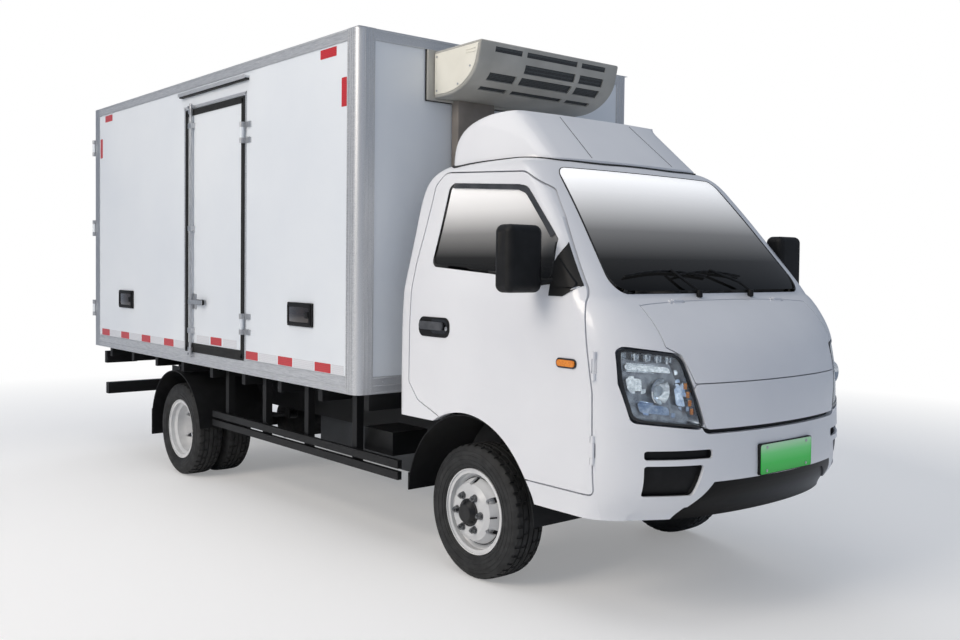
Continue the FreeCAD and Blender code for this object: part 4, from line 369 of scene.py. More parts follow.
def repeated(piece, places):
    """One mesh of many copies, each placed by a matrix; the first piece goes."""
    copies = [copy_of(piece, place) for place in places]
    bpy.data.objects.remove(piece)
    return joined(copies)


def with_modifier(piece, kind, **settings):
    """Adds a modifier with its settings and applies it."""
    take(piece)
    modifier = piece.modifiers.new(kind.lower(), kind)
    for name, value in settings.items():
        setattr(modifier, name, value)
    bpy.ops.object.modifier_apply(modifier=modifier.name)
    return piece


def softened(piece, width, segments=2, above=30):
    """Rounds the edges that turn by more than an angle in degrees."""
    return with_modifier(piece, "BEVEL", width=width, segments=segments, limit_method="ANGLE",
                         angle_limit=math.radians(above))


# %% Lines, faces and turned shapes


def drawn_line(points):
    """A line of vertices through the points, left in edit mode with everything selected."""
    start_clean()
    bpy.ops.mesh.primitive_plane_add(size=0.001, location=(0, 0, 0))
    bpy.ops.object.mode_set(mode="EDIT")
    bpy.ops.mesh.select_mode(type="VERT")
    bpy.ops.mesh.select_all(action="SELECT")
    bpy.ops.mesh.merge(type="CENTER")
    bpy.ops.transform.translate(value=points[0])
    for here, there in zip(points, points[1:]):
        step = Vector(there) - Vector(here)
        bpy.ops.mesh.extrude_region_move(TRANSFORM_OT_translate={"value": step})
    bpy.ops.mesh.select_all(action="SELECT")
    return bpy.context.object


def rectangle(axis, at, low, high):
    """Corners of an upright rectangle that looks along X or Y, between two points (y or x, z)."""
    corners = ((low[0], low[1]), (high[0], low[1]), (high[0], high[1]), (low[0], high[1]))
    return [(at, u, v) if axis == "X" else (u, at, v) for u, v in corners]


def sheet(points, corner=0.0, ring=0.0, push=None, segments=4):
    """A flat face with rounded corners; a ring keeps only its border, and a push makes it a solid."""
    piece = drawn_line(points)
    bpy.ops.mesh.edge_face_add()
    if corner:
        bpy.ops.mesh.bevel(offset=corner, segments=segments, affect="VERTICES")
        bpy.ops.mesh.select_all(action="SELECT")
    if ring:
        bpy.ops.mesh.select_mode(type="FACE")
        bpy.ops.mesh.select_all(action="SELECT")
        bpy.ops.mesh.inset(thickness=ring)
        bpy.ops.mesh.delete(type="FACE")
        bpy.ops.mesh.select_all(action="SELECT")
    if push:
        bpy.ops.mesh.extrude_region_move(TRANSFORM_OT_translate={"value": push})
    leave(False if push else None)
    return piece


def turned_piece(outline, centre, steps=64, closed=True):
    """Spins an outline of (distance along the axle, radius) round an axle along Y through the centre."""
    piece = drawn_line([(0, along, radius) for along, radius in outline + (outline[:1] if closed else [])])
    bpy.ops.mesh.remove_doubles(threshold=0.00001)
    bpy.ops.mesh.select_all(action="SELECT")
    bpy.ops.mesh.spin(steps=steps, angle=math.tau, center=(0, 0, 0), axis=(0, 1, 0))
    bpy.ops.mesh.select_all(action="SELECT")
    bpy.ops.mesh.remove_doubles(threshold=0.00005)
    bpy.ops.transform.translate(value=centre)
    leave(False)
    return piece


def soft_box(low, high, bevel=0.002, segments=2):
    """A box between two corners with rounded edges."""
    low, high = Vector(map(min, zip(low, high))), Vector(map(max, zip(low, high)))
    middle = (low + high) / 2
    start_clean()
    bpy.ops.mesh.primitive_cube_add(size=1, location=middle)
    piece = bpy.context.object
    edit(piece)
    bpy.ops.transform.resize(value=high - low, center_override=middle)
    if bevel:
        bpy.ops.mesh.bevel(offset=bevel, segments=segments, affect="EDGES")
    leave()
    return piece


def round_bar(start, end, radius, sides=16, bevel=0.001):
    """A rod between two points with softened ends."""
    start, end = Vector(start), Vector(end)
    along = end - start
    start_clean()
    bpy.ops.mesh.primitive_cylinder_add(vertices=sides, radius=radius, depth=along.length,
                                        location=(start + end) / 2,
                                        rotation=along.to_track_quat("Z", "Y").to_euler())
    piece = bpy.context.object
    edit(piece, "FACE")
    pick(piece, lambda face: len(face.verts) > 4)
    bpy.ops.mesh.bevel(offset=bevel, segments=2, affect="EDGES")
    leave()
    return piece


print("drawing and turning helpers ready")

# %% Sheets that follow the cab's skin
far_front = front_axle + 1.3
beside_cab = 1.05


def gridded(piece, step=0.02, axes="XZ"):
    """Cuts a flat sheet along a square grid, so that it can bend."""
    edit(piece)
    corners = [piece.matrix_world @ Vector(c) for c in piece.bound_box]
    for axis in axes:
        k = "XYZ".index(axis)
        low, high = min(c[k] for c in corners), max(c[k] for c in corners)
        normal = Vector((k == 0, k == 1, k == 2))
        for i in range(1, int((high - low) / step) + 1):
            bpy.ops.mesh.select_all(action="SELECT")
            bpy.ops.mesh.bisect(plane_co=normal * (low + i * step), plane_no=normal)
    leave()
    return piece


def laid_on(piece, node, axis, forward, lift=0.0, thick=0.0):
    """Throws a sheet along an axis on to a CAD node or a piece, then gives it a wall that grows outwards."""
    before = [vertex.co.copy() for vertex in piece.data.vertices]
    with_modifier(piece, "SHRINKWRAP", target=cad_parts.get(node) or node, wrap_method="PROJECT",
                  use_project_x=axis == "X", use_project_y=axis == "Y", use_project_z=axis == "Z",
                  use_positive_direction=forward, use_negative_direction=not forward,
                  wrap_mode="ABOVE_SURFACE", offset=lift)
    edit(piece)
    pick(piece, lambda vertex: (vertex.co - before[vertex.index]).length < 0.0001, "vertices")
    bpy.ops.mesh.delete(type="VERT")
    leave()
    if thick:
        outward = Vector([(-1 if forward else 1) * (axis == a) for a in "XYZ"])
        average = sum((f.normal * f.area for f in piece.data.polygons), Vector())
        if average.dot(outward) < 0:
            piece.data.flip_normals()
        with_modifier(piece, "SOLIDIFY", thickness=thick, offset=1.0)
    return piece


def from_front(corners, corner, node, lift, thick=0.0, ring=0.0):
    """A sheet with corners (y, z) that is thrown from the front on to a node."""
    flat = sheet([(far_front, y, z) for y, z in corners], corner, ring)
    return laid_on(gridded(flat, axes="YZ"), node, "X", False, lift, thick)


def from_side(sign, middle, size, corner, node, lift, thick, step=0.02):
    """An oval plate round a middle (x, z) that is thrown from the side on to a node."""
    (x, z), (length, height) = middle, size
    low, high = (x - length / 2, z - height / 2), (x + length / 2, z + height / 2)
    corners = rectangle("Y", sign * beside_cab, low, high)
    return laid_on(gridded(sheet(corners, corner, segments=8), step), node, "Y", sign < 0, lift, thick)


trees = {}


def on_skin(node, start, aim):
    """Where a line from a start along an aim meets a CAD node, and the surface's direction there."""
    if node not in trees:
        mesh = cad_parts[node].data
        trees[node] = BVHTree.FromPolygons([v.co for v in mesh.vertices], [p.vertices for p in mesh.polygons])
    return trees[node].ray_cast(Vector(start), Vector(aim))[:2]


def pane_seal(node, along, outward, width, proud):
    """A seal round a pane: its cut edge, which runs along one axis, made wider towards the middle."""
    k = "XYZ".index(along)
    band = bpy.data.objects.new(node + "_copy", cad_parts[node].data.copy())
    bpy.context.collection.objects.link(band)
    edit(band, "FACE")
    bpy.ops.mesh.remove_doubles(threshold=0.0001)
    pick(band, lambda face: abs(face.normal[k]) >= 0.2)
    bpy.ops.mesh.delete(type="FACE")
    leave()
    with_modifier(band, "SOLIDIFY", thickness=width, offset=-1.0)
    band.data.transform(Matrix.Translation(Vector(outward).normalized() * proud))
    return band


def drawn_from_edge(piece, reach):
    """Draws the border of a curved sheet out along X, and stays in edit mode."""
    edit(piece, "FACE")
    bpy.ops.mesh.region_to_loop()
    bpy.ops.mesh.extrude_edges_move(TRANSFORM_OT_translate={"value": (reach, 0, 0)})


def pocket(piece, reach, wall):
    """Turns a curved sheet at the bottom of a hole into a liner with walls that come forward along X."""
    drawn_from_edge(piece, reach)
    leave(True)
    return with_modifier(piece, "SOLIDIFY", thickness=wall, offset=0.0)


def open_tray(piece, depth, shrink, wall):
    """Turns a curved sheet into a tray: its edge is drawn back along X, narrowed and closed behind."""
    middle = sum((vertex.co for vertex in piece.data.vertices), Vector()) / len(piece.data.vertices)
    drawn_from_edge(piece, -depth)
    bpy.ops.transform.resize(value=(1, shrink, shrink), center_override=tuple(middle - Vector((depth, 0, 0))))
    bpy.ops.mesh.edge_face_add()
    bpy.ops.mesh.select_mode(type="FACE")
    pick(piece, lambda face: abs(face.normal.x) > 0.3 and len(face.verts) < 8)
    bpy.ops.mesh.delete(type="FACE")
    leave(True)
    return with_modifier(piece, "SOLIDIFY", thickness=wall, offset=0.0)


print("wrapping helpers ready")

# %% [markdown]
# ## Tyres
# A van tyre of this size has grooves round its tread, blocks along both shoulders and fine rings on its wall.
# The CAD tyre's outline is drawn again with the grooves and rings in it and spun. Every few faces of the
# shoulder ribs are then pushed in, which parts the shoulders into blocks.

# %% Tyre rubber
tyre_rubber, rubber_tree, rubber_shader = finish("tyre_rubber", "1F2021", 0.7)
shaded(rubber_tree, rubber_shader, grain(rubber_tree, 45), "191A1B", "2B2C2D")
bumped(rubber_tree, rubber_shader, grain(rubber_tree, 1.4, 2.0), 0.4, 0.1)

# %% One tyre
wall_side = [(0.0697, 0.1908), (0.0697, 0.2085), (0.0790, 0.2110), (0.0835, 0.2150), (0.0860, 0.2190),
             (0.0880, 0.2195), (0.0924, 0.2280), (0.0944, 0.2284), (0.0954, 0.2304), (0.0940, 0.2310),
             (0.0950, 0.2330), (0.0985, 0.2450), (0.0990, 0.2488), (0.1009, 0.2494), (0.1012, 0.2518),
             (0.0996, 0.2524), (0.0998, 0.2600), (0.1004, 0.2625), (0.1003, 0.2690), (0.0996, 0.2732),
             (0.0980, 0.2740), (0.0974, 0.2764), (0.0986, 0.2772), (0.0955, 0.2900), (0.0946, 0.2928),
             (0.0928, 0.2936), (0.0920, 0.2960), (0.0934, 0.2968), (0.0925, 0.2990),
             (0.0895, 0.3050), (0.0850, 0.3110), (0.0800, 0.3175), (0.0745, 0.3222), (0.0660, 0.3242)]
crown_radius, groove_depth, tread_steps = 0.3267, 0.0070, 120
grooves = []
for middle in (0.048, 0.016):
    crown = crown_radius - 0.5 * middle * middle
    grooves += [(middle + 0.0045, crown), (middle + 0.0035, crown - groove_depth),
                (middle - 0.0035, crown - groove_depth), (middle - 0.0045, crown)]
half_outline = wall_side + grooves
master_tyre = turned_piece(half_outline + [(-a, r) for a, r in half_outline[::-1]], (0, 0, 0), tread_steps)


def is_notch(face):
    """Every third face of the shoulders and every fourth of the ribs beside the middle groove."""
    spot = face.calc_center_median()
    radius, from_middle = math.hypot(spot.x, spot.z), abs(spot.y)
    step = int((math.atan2(spot.x, spot.z) / math.tau * tread_steps) % tread_steps) + (spot.y > 0)
    shoulder = radius > 0.3180 and 0.053 < from_middle < 0.082 and step % 3 == 0
    rib = radius > 0.3245 and 0.021 < from_middle < 0.043 and step % 4 == 0
    return shoulder or rib


edit(master_tyre, "FACE")
pick(master_tyre, is_notch)
bpy.ops.mesh.inset(thickness=0.0012)
bpy.ops.transform.shrink_fatten(value=-0.0055)
leave()
print("tyre faces", len(master_tyre.data.polygons))

# %% Tyres at all six places
for side, sign in SIDES:
    for end, x, tracks in (("front", front_axle, (0.700,)), ("rear", rear_axle, (0.836, 0.611))):
        tyres = joined([copy_of(master_tyre, Matrix.Translation((x, sign * y, axle_height))) for y in tracks])
        settle(tyres, f"treaded_tyre_{end}_{side}", tyre_rubber, f"wheel_{end}_{side}", 26)
        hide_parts(f"tyre_{end}_{side}")
bpy.data.objects.remove(master_tyre)

# %% [markdown]
# ## Wheel nuts and hub caps
# Six hexagon nuts on a 176 mm circle hold each wheel, with washers and short stud ends. The black hub shows
# in the middle, with a ring of small bolts. One nut is modelled and copied round the circle.

# %% Nuts, hub caps and tyre valves
zinc = varied("zinc_plated_wheel_nut", "5C5E60", "85878A", 0.36, 10, Metallic=0.9)
hub_black = varied("black_hub_paint", "0B0C0D", "191A1C", 0.42, 30, 0.05, 2.0)
nut_parts = ((0, 0.003, 0.0190, 20, 0.0006), (0.002, 0.021, 0.0158, 6, 0.0018),
             (0.018, 0.031, 0.0075, 12, 0.0012))
master_nut = joined([round_bar((0, start, 0), (0, end, 0), *rest) for start, end, *rest in nut_parts])
nut_circle, bolt_circle = 0.088, 0.0555


def on_circle(x, y, radius, sixths):
    """A point on a circle round the axle, so many sixths of a turn along it."""
    angle = math.tau * sixths / 6
    return Vector((x + radius * math.cos(angle), y, axle_height + radius * math.sin(angle)))


def wheel_dress(end, side, x, face, sign, cap):
    """Nuts, hub cap, cap bolts, brake shield and valve; face is where the disc's outer face lies. The black
    brake shield is a back plate that also paints the shade seen through the wheel's holes.
    """
    body = f"wheel_{end}_{side}"
    flip = Matrix.Scale(sign, 4, (0, 1, 0))
    nuts = [copy_of(master_nut, Matrix.Translation(on_circle(x, sign * face, nut_circle, i)) @ flip)
            for i in range(6)]
    settle(joined(nuts), f"wheel_nuts_{end}_{side}", zinc, body)
    outline = [(-0.001, 0.0668), (0.004, 0.0668), (0.006, 0.0612), (0.0068, 0.0590), (cap - 0.0035, 0.0450),
               (cap, 0.0428), (cap + 0.0008, 0.0405), (cap + 0.0008, 0.0330), (cap + 0.0003, 0.0)]
    centre = (x, sign * face, axle_height)
    pieces = [turned_piece([(sign * a, r) for a, r in outline], centre, 48, False)]
    for i in range(6):
        spot = on_circle(x, sign * (face + 0.008), bolt_circle, i + 0.5)
        pieces.append(round_bar(spot, spot + Vector((0, sign * 0.006, 0)), 0.0048, 6, 0.0008))
    settle(joined(pieces), f"hub_cap_{end}_{side}", hub_black, body)
    # Black ring behind the wheel's holes: a back plate, and painted shade in the holes.
    shield = [(sign * a, r) for a, r in ((-0.066, 0.136), (-0.062, 0.136), (-0.062, 0.163), (-0.066, 0.163))]
    settle(turned_piece(shield, centre), f"brake_shield_{end}_{side}", hub_black, body)
    valve = Vector((x + 0.160, sign * (face - 0.040), axle_height))
    settle(round_bar(valve, valve + Vector((-0.012, sign * 0.034, 0)), 0.0042, 12),
           f"tyre_valve_{end}_{side}", black_rubber, body)


for side, sign in SIDES:
    wheel_dress("front", side, front_axle, 0.8080, sign, 0.0300)
    wheel_dress("rear", side, rear_axle, 0.7350, sign, 0.0590)
bpy.data.objects.remove(master_nut)
print("wheels dressed")

# %% [markdown]
# ## Headlamps
# Each lamp is a clear cover over a dark tray. A black surround runs round its edge. Inside, five small square
# units sit in a row at the top. Below them is a round bright bowl with a glass ball, between a slanted bright
# scoop and an upright blade. All of them hang on the tray, a few centimetres behind the cover.

# %% Lamp materials
lamp_cover = finish("clear_polycarbonate_cover", "F4F8FA", 0.03, IOR=1.49, Transmission_Weight=1.0)[0]
lamp_glass = finish("moulded_glass_ball", "DDE9F5", 0.03, IOR=1.5, Transmission_Weight=0.7)[0]
bright_metal = varied("vacuum_metallised_reflector", "B9C0C8", "E4E9EE", 0.12, 12, Metallic=1.0)
dark_tray = varied("smoked_chrome_lamp_tray", "757C88", "A6AEBA", 0.25, 25, 0.05, 1.0, Metallic=0.6)
surround_black = varied("gloss_black_surround", "0A0B0C", "121315", 0.22, 60, Coat_Weight=0.5)
amber = varied("amber_acrylic", "D9781A", "F0962B", 0.2, 8, Coat_Weight=0.6)
print("lamp materials made")

# %% Surround and cover, thrown on to the CAD lamp
lamp_corners = ((0.488, 0.856), (0.543, 1.042), (0.567, 1.157),
                (0.796, 1.189), (0.796, 1.042), (0.763, 0.888))
middle_y, middle_z = (sum(values) / len(values) for values in zip(*lamp_corners))


def lamp_edge(sign, inset):
    """The lamp's outline as (y, z), drawn in by an inset."""
    points = []
    for y, z in lamp_corners:
        away = Vector((y - middle_y, z - middle_z))
        away *= 1 - inset / away.length * 1.15
        points.append((sign * (middle_y + away.x), middle_z + away.y))
    return points


def behind_cover(y, z, depth):
    """The point so far behind the lamp's cover, seen from the front."""
    return on_skin("headlamps", (far_front, y, z), (-1, 0, 0))[0] - Vector((depth, 0, 0))


for side, sign in SIDES:
    ring = from_front(lamp_edge(sign, 0.001), 0.032, "headlamps", 0.0005, ring=0.010)
    with_modifier(ring, "SOLIDIFY", thickness=0.012, offset=0.0)
    ring.data.transform(Matrix.Translation((-0.004, 0, 0)))
    settle(ring, f"headlamp_surround_{side}", surround_black)
    cover = from_front(lamp_edge(sign, 0.009), 0.026, "headlamps", -0.003)
    with_modifier(cover, "SOLIDIFY", thickness=0.0025, offset=0.0)
    settle(cover, f"headlamp_cover_{side}", lamp_cover, angle=40)
    tray = open_tray(from_front(lamp_edge(sign, 0.004), 0.030, "headlamps", -0.010), 0.060, 0.93, 0.003)
    settle(tray, f"headlamp_tray_{side}", dark_tray, angle=35)
    print(side, "lamp tray", len(tray.data.polygons), "faces")

# %% What sits inside the trays


def lamp_unit(middle, size):
    """One small square unit: a bright frame with a pressed-in cup."""
    cup = soft_box(middle - Vector((0.012, size / 2, size / 2)), middle + Vector((0.006, size / 2, size / 2)))
    edit(cup, "FACE")
    pick(cup, lambda face: face.normal.x > 0.95 and face.calc_area() > size * size * 0.4)
    bpy.ops.mesh.inset(thickness=size * 0.1)
    bpy.ops.mesh.inset(thickness=size * 0.16, depth=-0.010)
    leave()
    return cup


def lamp_ball(centre, radius):
    """A flattened glass ball that looks forward."""
    start_clean()
    bpy.ops.mesh.primitive_uv_sphere_add(segments=28, ring_count=14, radius=radius, location=centre,
                                         rotation=(0, math.pi / 2, 0))
    ball = bpy.context.object
    edit(ball)
    bpy.ops.transform.resize(value=(0.6, 1, 1), center_override=tuple(centre))
    leave()
    return ball


def bowl(centre, radius, depth, rings=6):
    """A round reflector that opens forward, with a rolled rim."""
    curve = [(depth * (i / rings) ** 2, 0.3 * radius + 0.7 * radius * i / rings) for i in range(rings + 1)]
    outline = [(0.0, 0.0)] + curve + [(depth + 0.004, radius + 0.003), (depth, radius + 0.006)]
    outline += [(along - 0.003, out + 0.002) for along, out in reversed(curve)] + [(-0.003, 0.0)]
    piece = turned_piece(outline, (0, 0, 0), 40, False)
    piece.data.transform(Matrix.Translation(centre) @ Matrix.Rotation(-math.pi / 2, 4, "Z"))
    return piece


chrome_blue = varied("blue_tinted_chrome_reflector", "8FA6C8", "DCE8F8", 0.14, 30, Metallic=0.85)
lamp_shapes = (
    ("shelf", ((0.585, 1.078), (0.592, 1.112), (0.780, 1.128), (0.782, 1.094)), 0.016, bright_metal),
    ("blade", ((0.548, 0.925), (0.572, 1.060), (0.604, 1.062), (0.596, 0.935)), 0.016, chrome_blue),
    ("scoop", ((0.606, 0.900), (0.612, 0.948), (0.745, 0.972), (0.735, 0.915)), 0.020, chrome_blue),
    ("side_cup", ((0.715, 1.000), (0.712, 1.072), (0.772, 1.074), (0.768, 1.002)), 0.022, bright_metal))
for side, sign in SIDES:
    middles = [behind_cover(sign * (0.600 + 0.041 * i), 1.1345 + 0.0055 * i, 0.030) for i in range(5)]
    units, balls = [], []
    for middle in middles:
        units.append(lamp_unit(middle, 0.031))
        balls.append(lamp_ball(middle, 0.0085))
    settle(joined(units), f"headlamp_unit_row_{side}", bright_metal)
    for name, corners, depth, material in lamp_shapes:
        face = from_front([(sign * y, z) for y, z in corners], 0.012, "headlamps", -depth)
        settle(open_tray(face, 0.016, 0.72, 0.002), f"headlamp_{name}_{side}", material, angle=35)
    centre = behind_cover(sign * 0.655, 1.010, 0.046)
    settle(bowl(centre, 0.050, 0.028), f"headlamp_bowl_{side}", bright_metal, angle=40)
    balls.append(lamp_ball(centre + Vector((0.016, 0, 0)), 0.024))
    settle(joined(balls), f"headlamp_glass_balls_{side}", lamp_glass, angle=40)
    spots = [behind_cover(sign * (0.53 + 0.214 * (z - 0.9)), z, 0.014) for z in (0.925, 0.960, 0.995, 1.030)]
    half = Vector((0.006, 0.006, 0.013))
    settle(joined([soft_box(spot - half, spot + half, 0.003) for spot in spots]),
           f"headlamp_turn_signal_{side}", amber)
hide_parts("headlamps")
print("headlamps built")

# %% [markdown]
# ## Bumper pockets, gap, plate and windows
# The holes in the bumper open into black moulded pockets. A green plate without any writing sits in the
# middle. Black rubber holds the windscreen and both door windows.

# %% Black pockets in the bumper
pocket_edges = (((0.452, 0.7315), (0.726, 0.7315), (0.726, 0.7665), (0.452, 0.7665)),
                ((0.493, 0.7045), (0.726, 0.7045), (0.726, 0.5795), (0.5325, 0.5795)))
for side, sign in SIDES:
    liners = []
    for corners in pocket_edges:
        liner = from_front([(sign * y, z) for y, z in corners], 0.014, "cab_shell", 0.0012)
        liners.append(pocket(liner, 0.018, 0.0014))
    settle(joined(liners), f"bumper_pocket_liner_{side}", black_grained, angle=35)

# %% The dark gap between grille panel and bumper
gap_edge = [(-0.499, 0.829), (0.499, 0.829), (0.512, 0.868), (0.486, 0.868), (0.476, 0.852), (-0.476, 0.852),
            (-0.486, 0.868), (-0.512, 0.868)]
gap_strip = from_front(gap_edge, 0.0, "cab_shell", 0.0005, 0.001)
settle(gap_strip, "grille_gap_liner", black_grained, angle=35)

# %% Number plate without writing
plate_z, plate_half_y, plate_half_z = 0.701, 0.194, 0.064
plate_green, plate_tree, plate_shader = finish("green_reflective_plate_film", "2FD24A", 0.35, Coat_Weight=0.6)
film_colour = up_the_height(plate_tree, plate_z - plate_half_z, plate_z + plate_half_z,
                            ("14C83A", "22DC48", "6CEE7E", "C9F8CB"))
plate_tree.links.new(film_colour, plate_shader.inputs["Base Color"])
plate_front = on_skin("front_bumper", (far_front, 0, plate_z), (-1, 0, 0))[0].x + 0.004


def plate_sheet(inset, x, corner, thick, ring=0.0):
    """A rounded upright plate a little smaller than the number plate, which grows forward."""
    y, z = plate_half_y - inset, plate_half_z - inset
    return sheet(rectangle("X", x, (-y, plate_z - z), (y, plate_z + z)), corner, ring, (thick, 0, 0))


holder = softened(plate_sheet(-0.004, plate_front - 0.034, 0.012, 0.034), 0.0015)
settle(holder, "plate_holder", black_grained)
plate = plate_sheet(0.0, plate_front + 0.0002, 0.010, 0.0012)
rim = softened(plate_sheet(0.003, plate_front + 0.0012, 0.008, 0.0012, 0.0035), 0.0005)
settle(joined([plate, rim]), "number_plate", plate_green)
screws = [round_bar((plate_front + 0.001, y, z), (plate_front + 0.0042, y, z), 0.0065)
          for y in (-0.15, 0.15) for z in (plate_z - 0.050, plate_z + 0.050)]
settle(joined(screws), "plate_screws", stainless)
print("plate front at x", round(plate_front, 4))

# %% Window seals
screen_seal = pane_seal("windscreen", "X", (0.72, 0, 0.69), 0.013, 0.0025)
settle(screen_seal, "windscreen_seal", black_rubber)
for side, sign in SIDES:
    seal = pane_seal(f"door_glass_{side}", "Y", (0, sign, 0.1), 0.014, 0.003)
    settle(seal, f"door_window_seal_{side}", black_rubber, f"door_{side}_body")
print("window seals made")

# %% [markdown]
# ## Door handles, side lamps and mirror glass
# The cab's door handle is an oval black bowl, sunk into the door, with a grip across it. A small amber lamp
# sits near the door's front edge. Each mirror housing holds a glass that looks backwards.

# %% Handles and side lamps on the cab doors
grip_grey = varied("grey_moulded_grip", "3C3E42", "54565A", 0.35, 60, 0.05, 1.5)
mirror_silver = finish("silvered_mirror_glass", "DDE3E8", 0.02, Metallic=1.0)[0]
handle_x, handle_z = front_axle - 0.222, 1.213
side_lamp = (front_axle + 0.697, 1.110)
for side, sign in SIDES:
    body, door = f"door_{side}_body", f"cab_door_{side}"
    rim = from_side(sign, (handle_x, handle_z), (0.245, 0.098), 0.040, door, 0.0003, 0.003)
    bowl_middle = (handle_x + 0.040, handle_z + 0.004)
    bowl_plate = from_side(sign, bowl_middle, (0.135, 0.070), 0.030, door, 0.0034, 0.0008)
    grip = from_side(sign, (handle_x - 0.012, handle_z + 0.006), (0.190, 0.040), 0.017, door, 0.007, 0.009)
    lock = on_skin(door, (handle_x + 0.098, sign * beside_cab, handle_z - 0.004), (0, -sign, 0))[0]
    barrel = round_bar(lock, lock + Vector((0, sign * 0.006, 0)), 0.010, 20)
    settle(rim, f"door_handle_{side}", black_grained, body, 35)
    settle(grip, f"door_handle_grip_{side}", grip_grey, body, 35)
    settle(bowl_plate, f"door_handle_bowl_{side}", surround_black, body, 35)
    settle(barrel, f"door_lock_{side}", stainless, body)
    base = from_side(sign, side_lamp, (0.120, 0.042), 0.020, door, 0.0003, 0.004, 0.015)
    lens = from_side(sign, side_lamp, (0.104, 0.028), 0.0135, door, 0.004, 0.005, 0.01)
    settle(base, f"side_lamp_rim_{side}", surround_black, body, 35)
    settle(lens, f"side_lamp_lens_{side}", amber, body, 35)

# %% Mirror glasses
for side, sign in SIDES:
    behind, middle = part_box(f"mirror_{side}")[0].x - 0.05, sign * 0.990
    corners = rectangle("X", behind, (middle - 0.082, 1.425), (middle + 0.082, 1.675))
    pane = gridded(sheet(corners, 0.024), 0.03, "YZ")
    laid_on(pane, f"mirror_{side}", "X", True, 0.0003, 0.0015)
    settle(pane, f"mirror_glass_{side}", mirror_silver, f"door_{side}_body")
print("cab fittings made")

# %% [markdown]
# ## What is fixed to the cargo box
# The white walls carry strips of red and white reflecting tape above the bottom rail. A black rubber gasket
# runs round the side door. The aluminium edges are extrusions with long ribs, held by rows of dome rivets.

# %% Reflecting tape


def prismatic(name, dark, light):
    """Reflecting film: small cube corners under a clear face, which shimmer as a fine diamond grid."""
    material, tree, shader = finish(name, light, 0.28, Coat_Weight=0.7, Coat_Roughness=0.08)
    turned = add(tree, "ShaderNodeMapping", {"Rotation": (math.radians(45), math.radians(45), 0)},
                 {"Vector": place_in(tree)})
    cells = add(tree, "ShaderNodeTexVoronoi", {"Scale": 1000.0 / 7.0, "Randomness": 0.1},
                {"Vector": turned.outputs["Vector"]})
    shaded(tree, shader, cells.outputs["Distance"], light, dark, 0.1, 0.7)
    bumped(tree, shader, cells.outputs["Distance"], 0.4, 0.2)
    return material


tape_film = {"red": prismatic("red_prismatic_film", "A80C12", "E0161D"),
             "white": prismatic("white_prismatic_film", "C9CBD2", "EEF0F2")}
skin_y = box_side + 0.0002
tape_low, tape_high = 0.930, 0.980
door_high_x = box_front - 1.258
door_low_x = door_high_x - 0.860
door_low_z, door_high_z = 0.916, 2.541


def tape(x0, x1, z0, z1, y):
    """One strip of film on a wall, between two places ahead of the front axle: a thin rounded plate."""
    strip = rectangle("Y", y, (front_axle + x0, z0), (front_axle + x1, z1))
    return sheet(strip, 0.003, push=(0, math.copysign(0.0007, y), 0), segments=2)


strip_middles = [-0.996 - 0.413 * i for i in range(9)]
runs = {"red": [(middle - 0.083, middle + 0.083) for middle in strip_middles],
        "white": [(middle - 0.318, middle - 0.096) for middle in strip_middles] + [(-0.905, -0.785)]}


def laid_run(kind, low, high, y):
    """The strips of one colour that fit between two places, cut off there, unless too little is left."""
    ends = [(max(a, low), min(b, high)) for a, b in runs[kind]]
    return [tape(a, b, tape_low, tape_high, y) for a, b in ends if b - a > 0.03]


corner_tapes = ((-1.037, -0.874, 2.622, 2.672), (-0.822, -0.772, 2.345, 2.497),
                (-4.310, -4.156, 2.622, 2.672), (-4.420, -4.370, 2.345, 2.497))
door_tapes = {"red": ((-2.388, -2.228),), "white": ((-2.60, -2.41), (-2.205, -2.02))}
tape_start, tape_end = -4.425, -0.775
for kind, film in tape_film.items():
    strips = laid_run(kind, tape_start, door_low_x - front_axle - 0.012, -skin_y)
    strips += laid_run(kind, door_high_x - front_axle + 0.012, tape_end, -skin_y)
    strips += laid_run(kind, tape_start, tape_end, skin_y)
    if kind == "red":
        strips += [tape(*corner, y) for y in (skin_y, -skin_y) for corner in corner_tapes]
    settle(joined(strips), f"wall_tape_{kind}", film)
for kind, film in tape_film.items():
    on_door = [tape(a, b, 0.985, 1.035, -skin_y) for a, b in door_tapes[kind]]
    settle(joined(on_door), f"side_door_tape_{kind}", film, "side_door_body")
print("reflecting tape laid")

# %% Gasket of the side door and the lips of its frame
gasket_y = -skin_y
gasket_in = 0.042


def door_ring(inset, y, ring, thick, corner=0.004, sill=0.0):
    """A frame drawn in from the side door's edge; a sill lifts its bottom."""
    low = (door_low_x + inset, door_low_z + inset + sill)
    edge = rectangle("Y", y, low, (door_high_x - inset, door_high_z - inset))
    return sheet(edge, corner, ring, (0, -thick, 0), 2)


sweep = soft_box((door_low_x + gasket_in - 0.002, gasket_y, door_low_z + gasket_in - 0.002),
                 (door_high_x - gasket_in + 0.002, gasket_y - 0.0045, door_low_z + gasket_in + 0.020), 0)
lips = [door_ring(inset, gasket_y - 0.0044, 0.006, 0.0025) for inset in (0.008, 0.030)]
door_gasket = softened(joined([door_ring(0.0, gasket_y, gasket_in, 0.0045), sweep] + lips), 0.001)
settle(door_gasket, "side_door_gasket", black_rubber, "side_door_body")
frame_strip = softened(door_ring(-0.0245, gasket_y, 0.0170, 0.0022, 0.003, 0.014), 0.0008)
settle(frame_strip, "side_door_frame", aluminium)
print("gasket and frame made")

# %% Ribs of the extruded edges
rib_depth = 0.0022
edge_y = box_side + 0.004
post_ends = (box_rear + 0.094, box_front - 0.106)
low_ribs = (floor_z + 0.007, floor_z + 0.034, floor_z + 0.085)
high_ribs = (roof_z - 0.008, roof_z - 0.055)
ribs = []


def rib(low, high):
    """A long shallow rib of an extrusion."""
    ribs.append(soft_box(low, high, 0.0015))


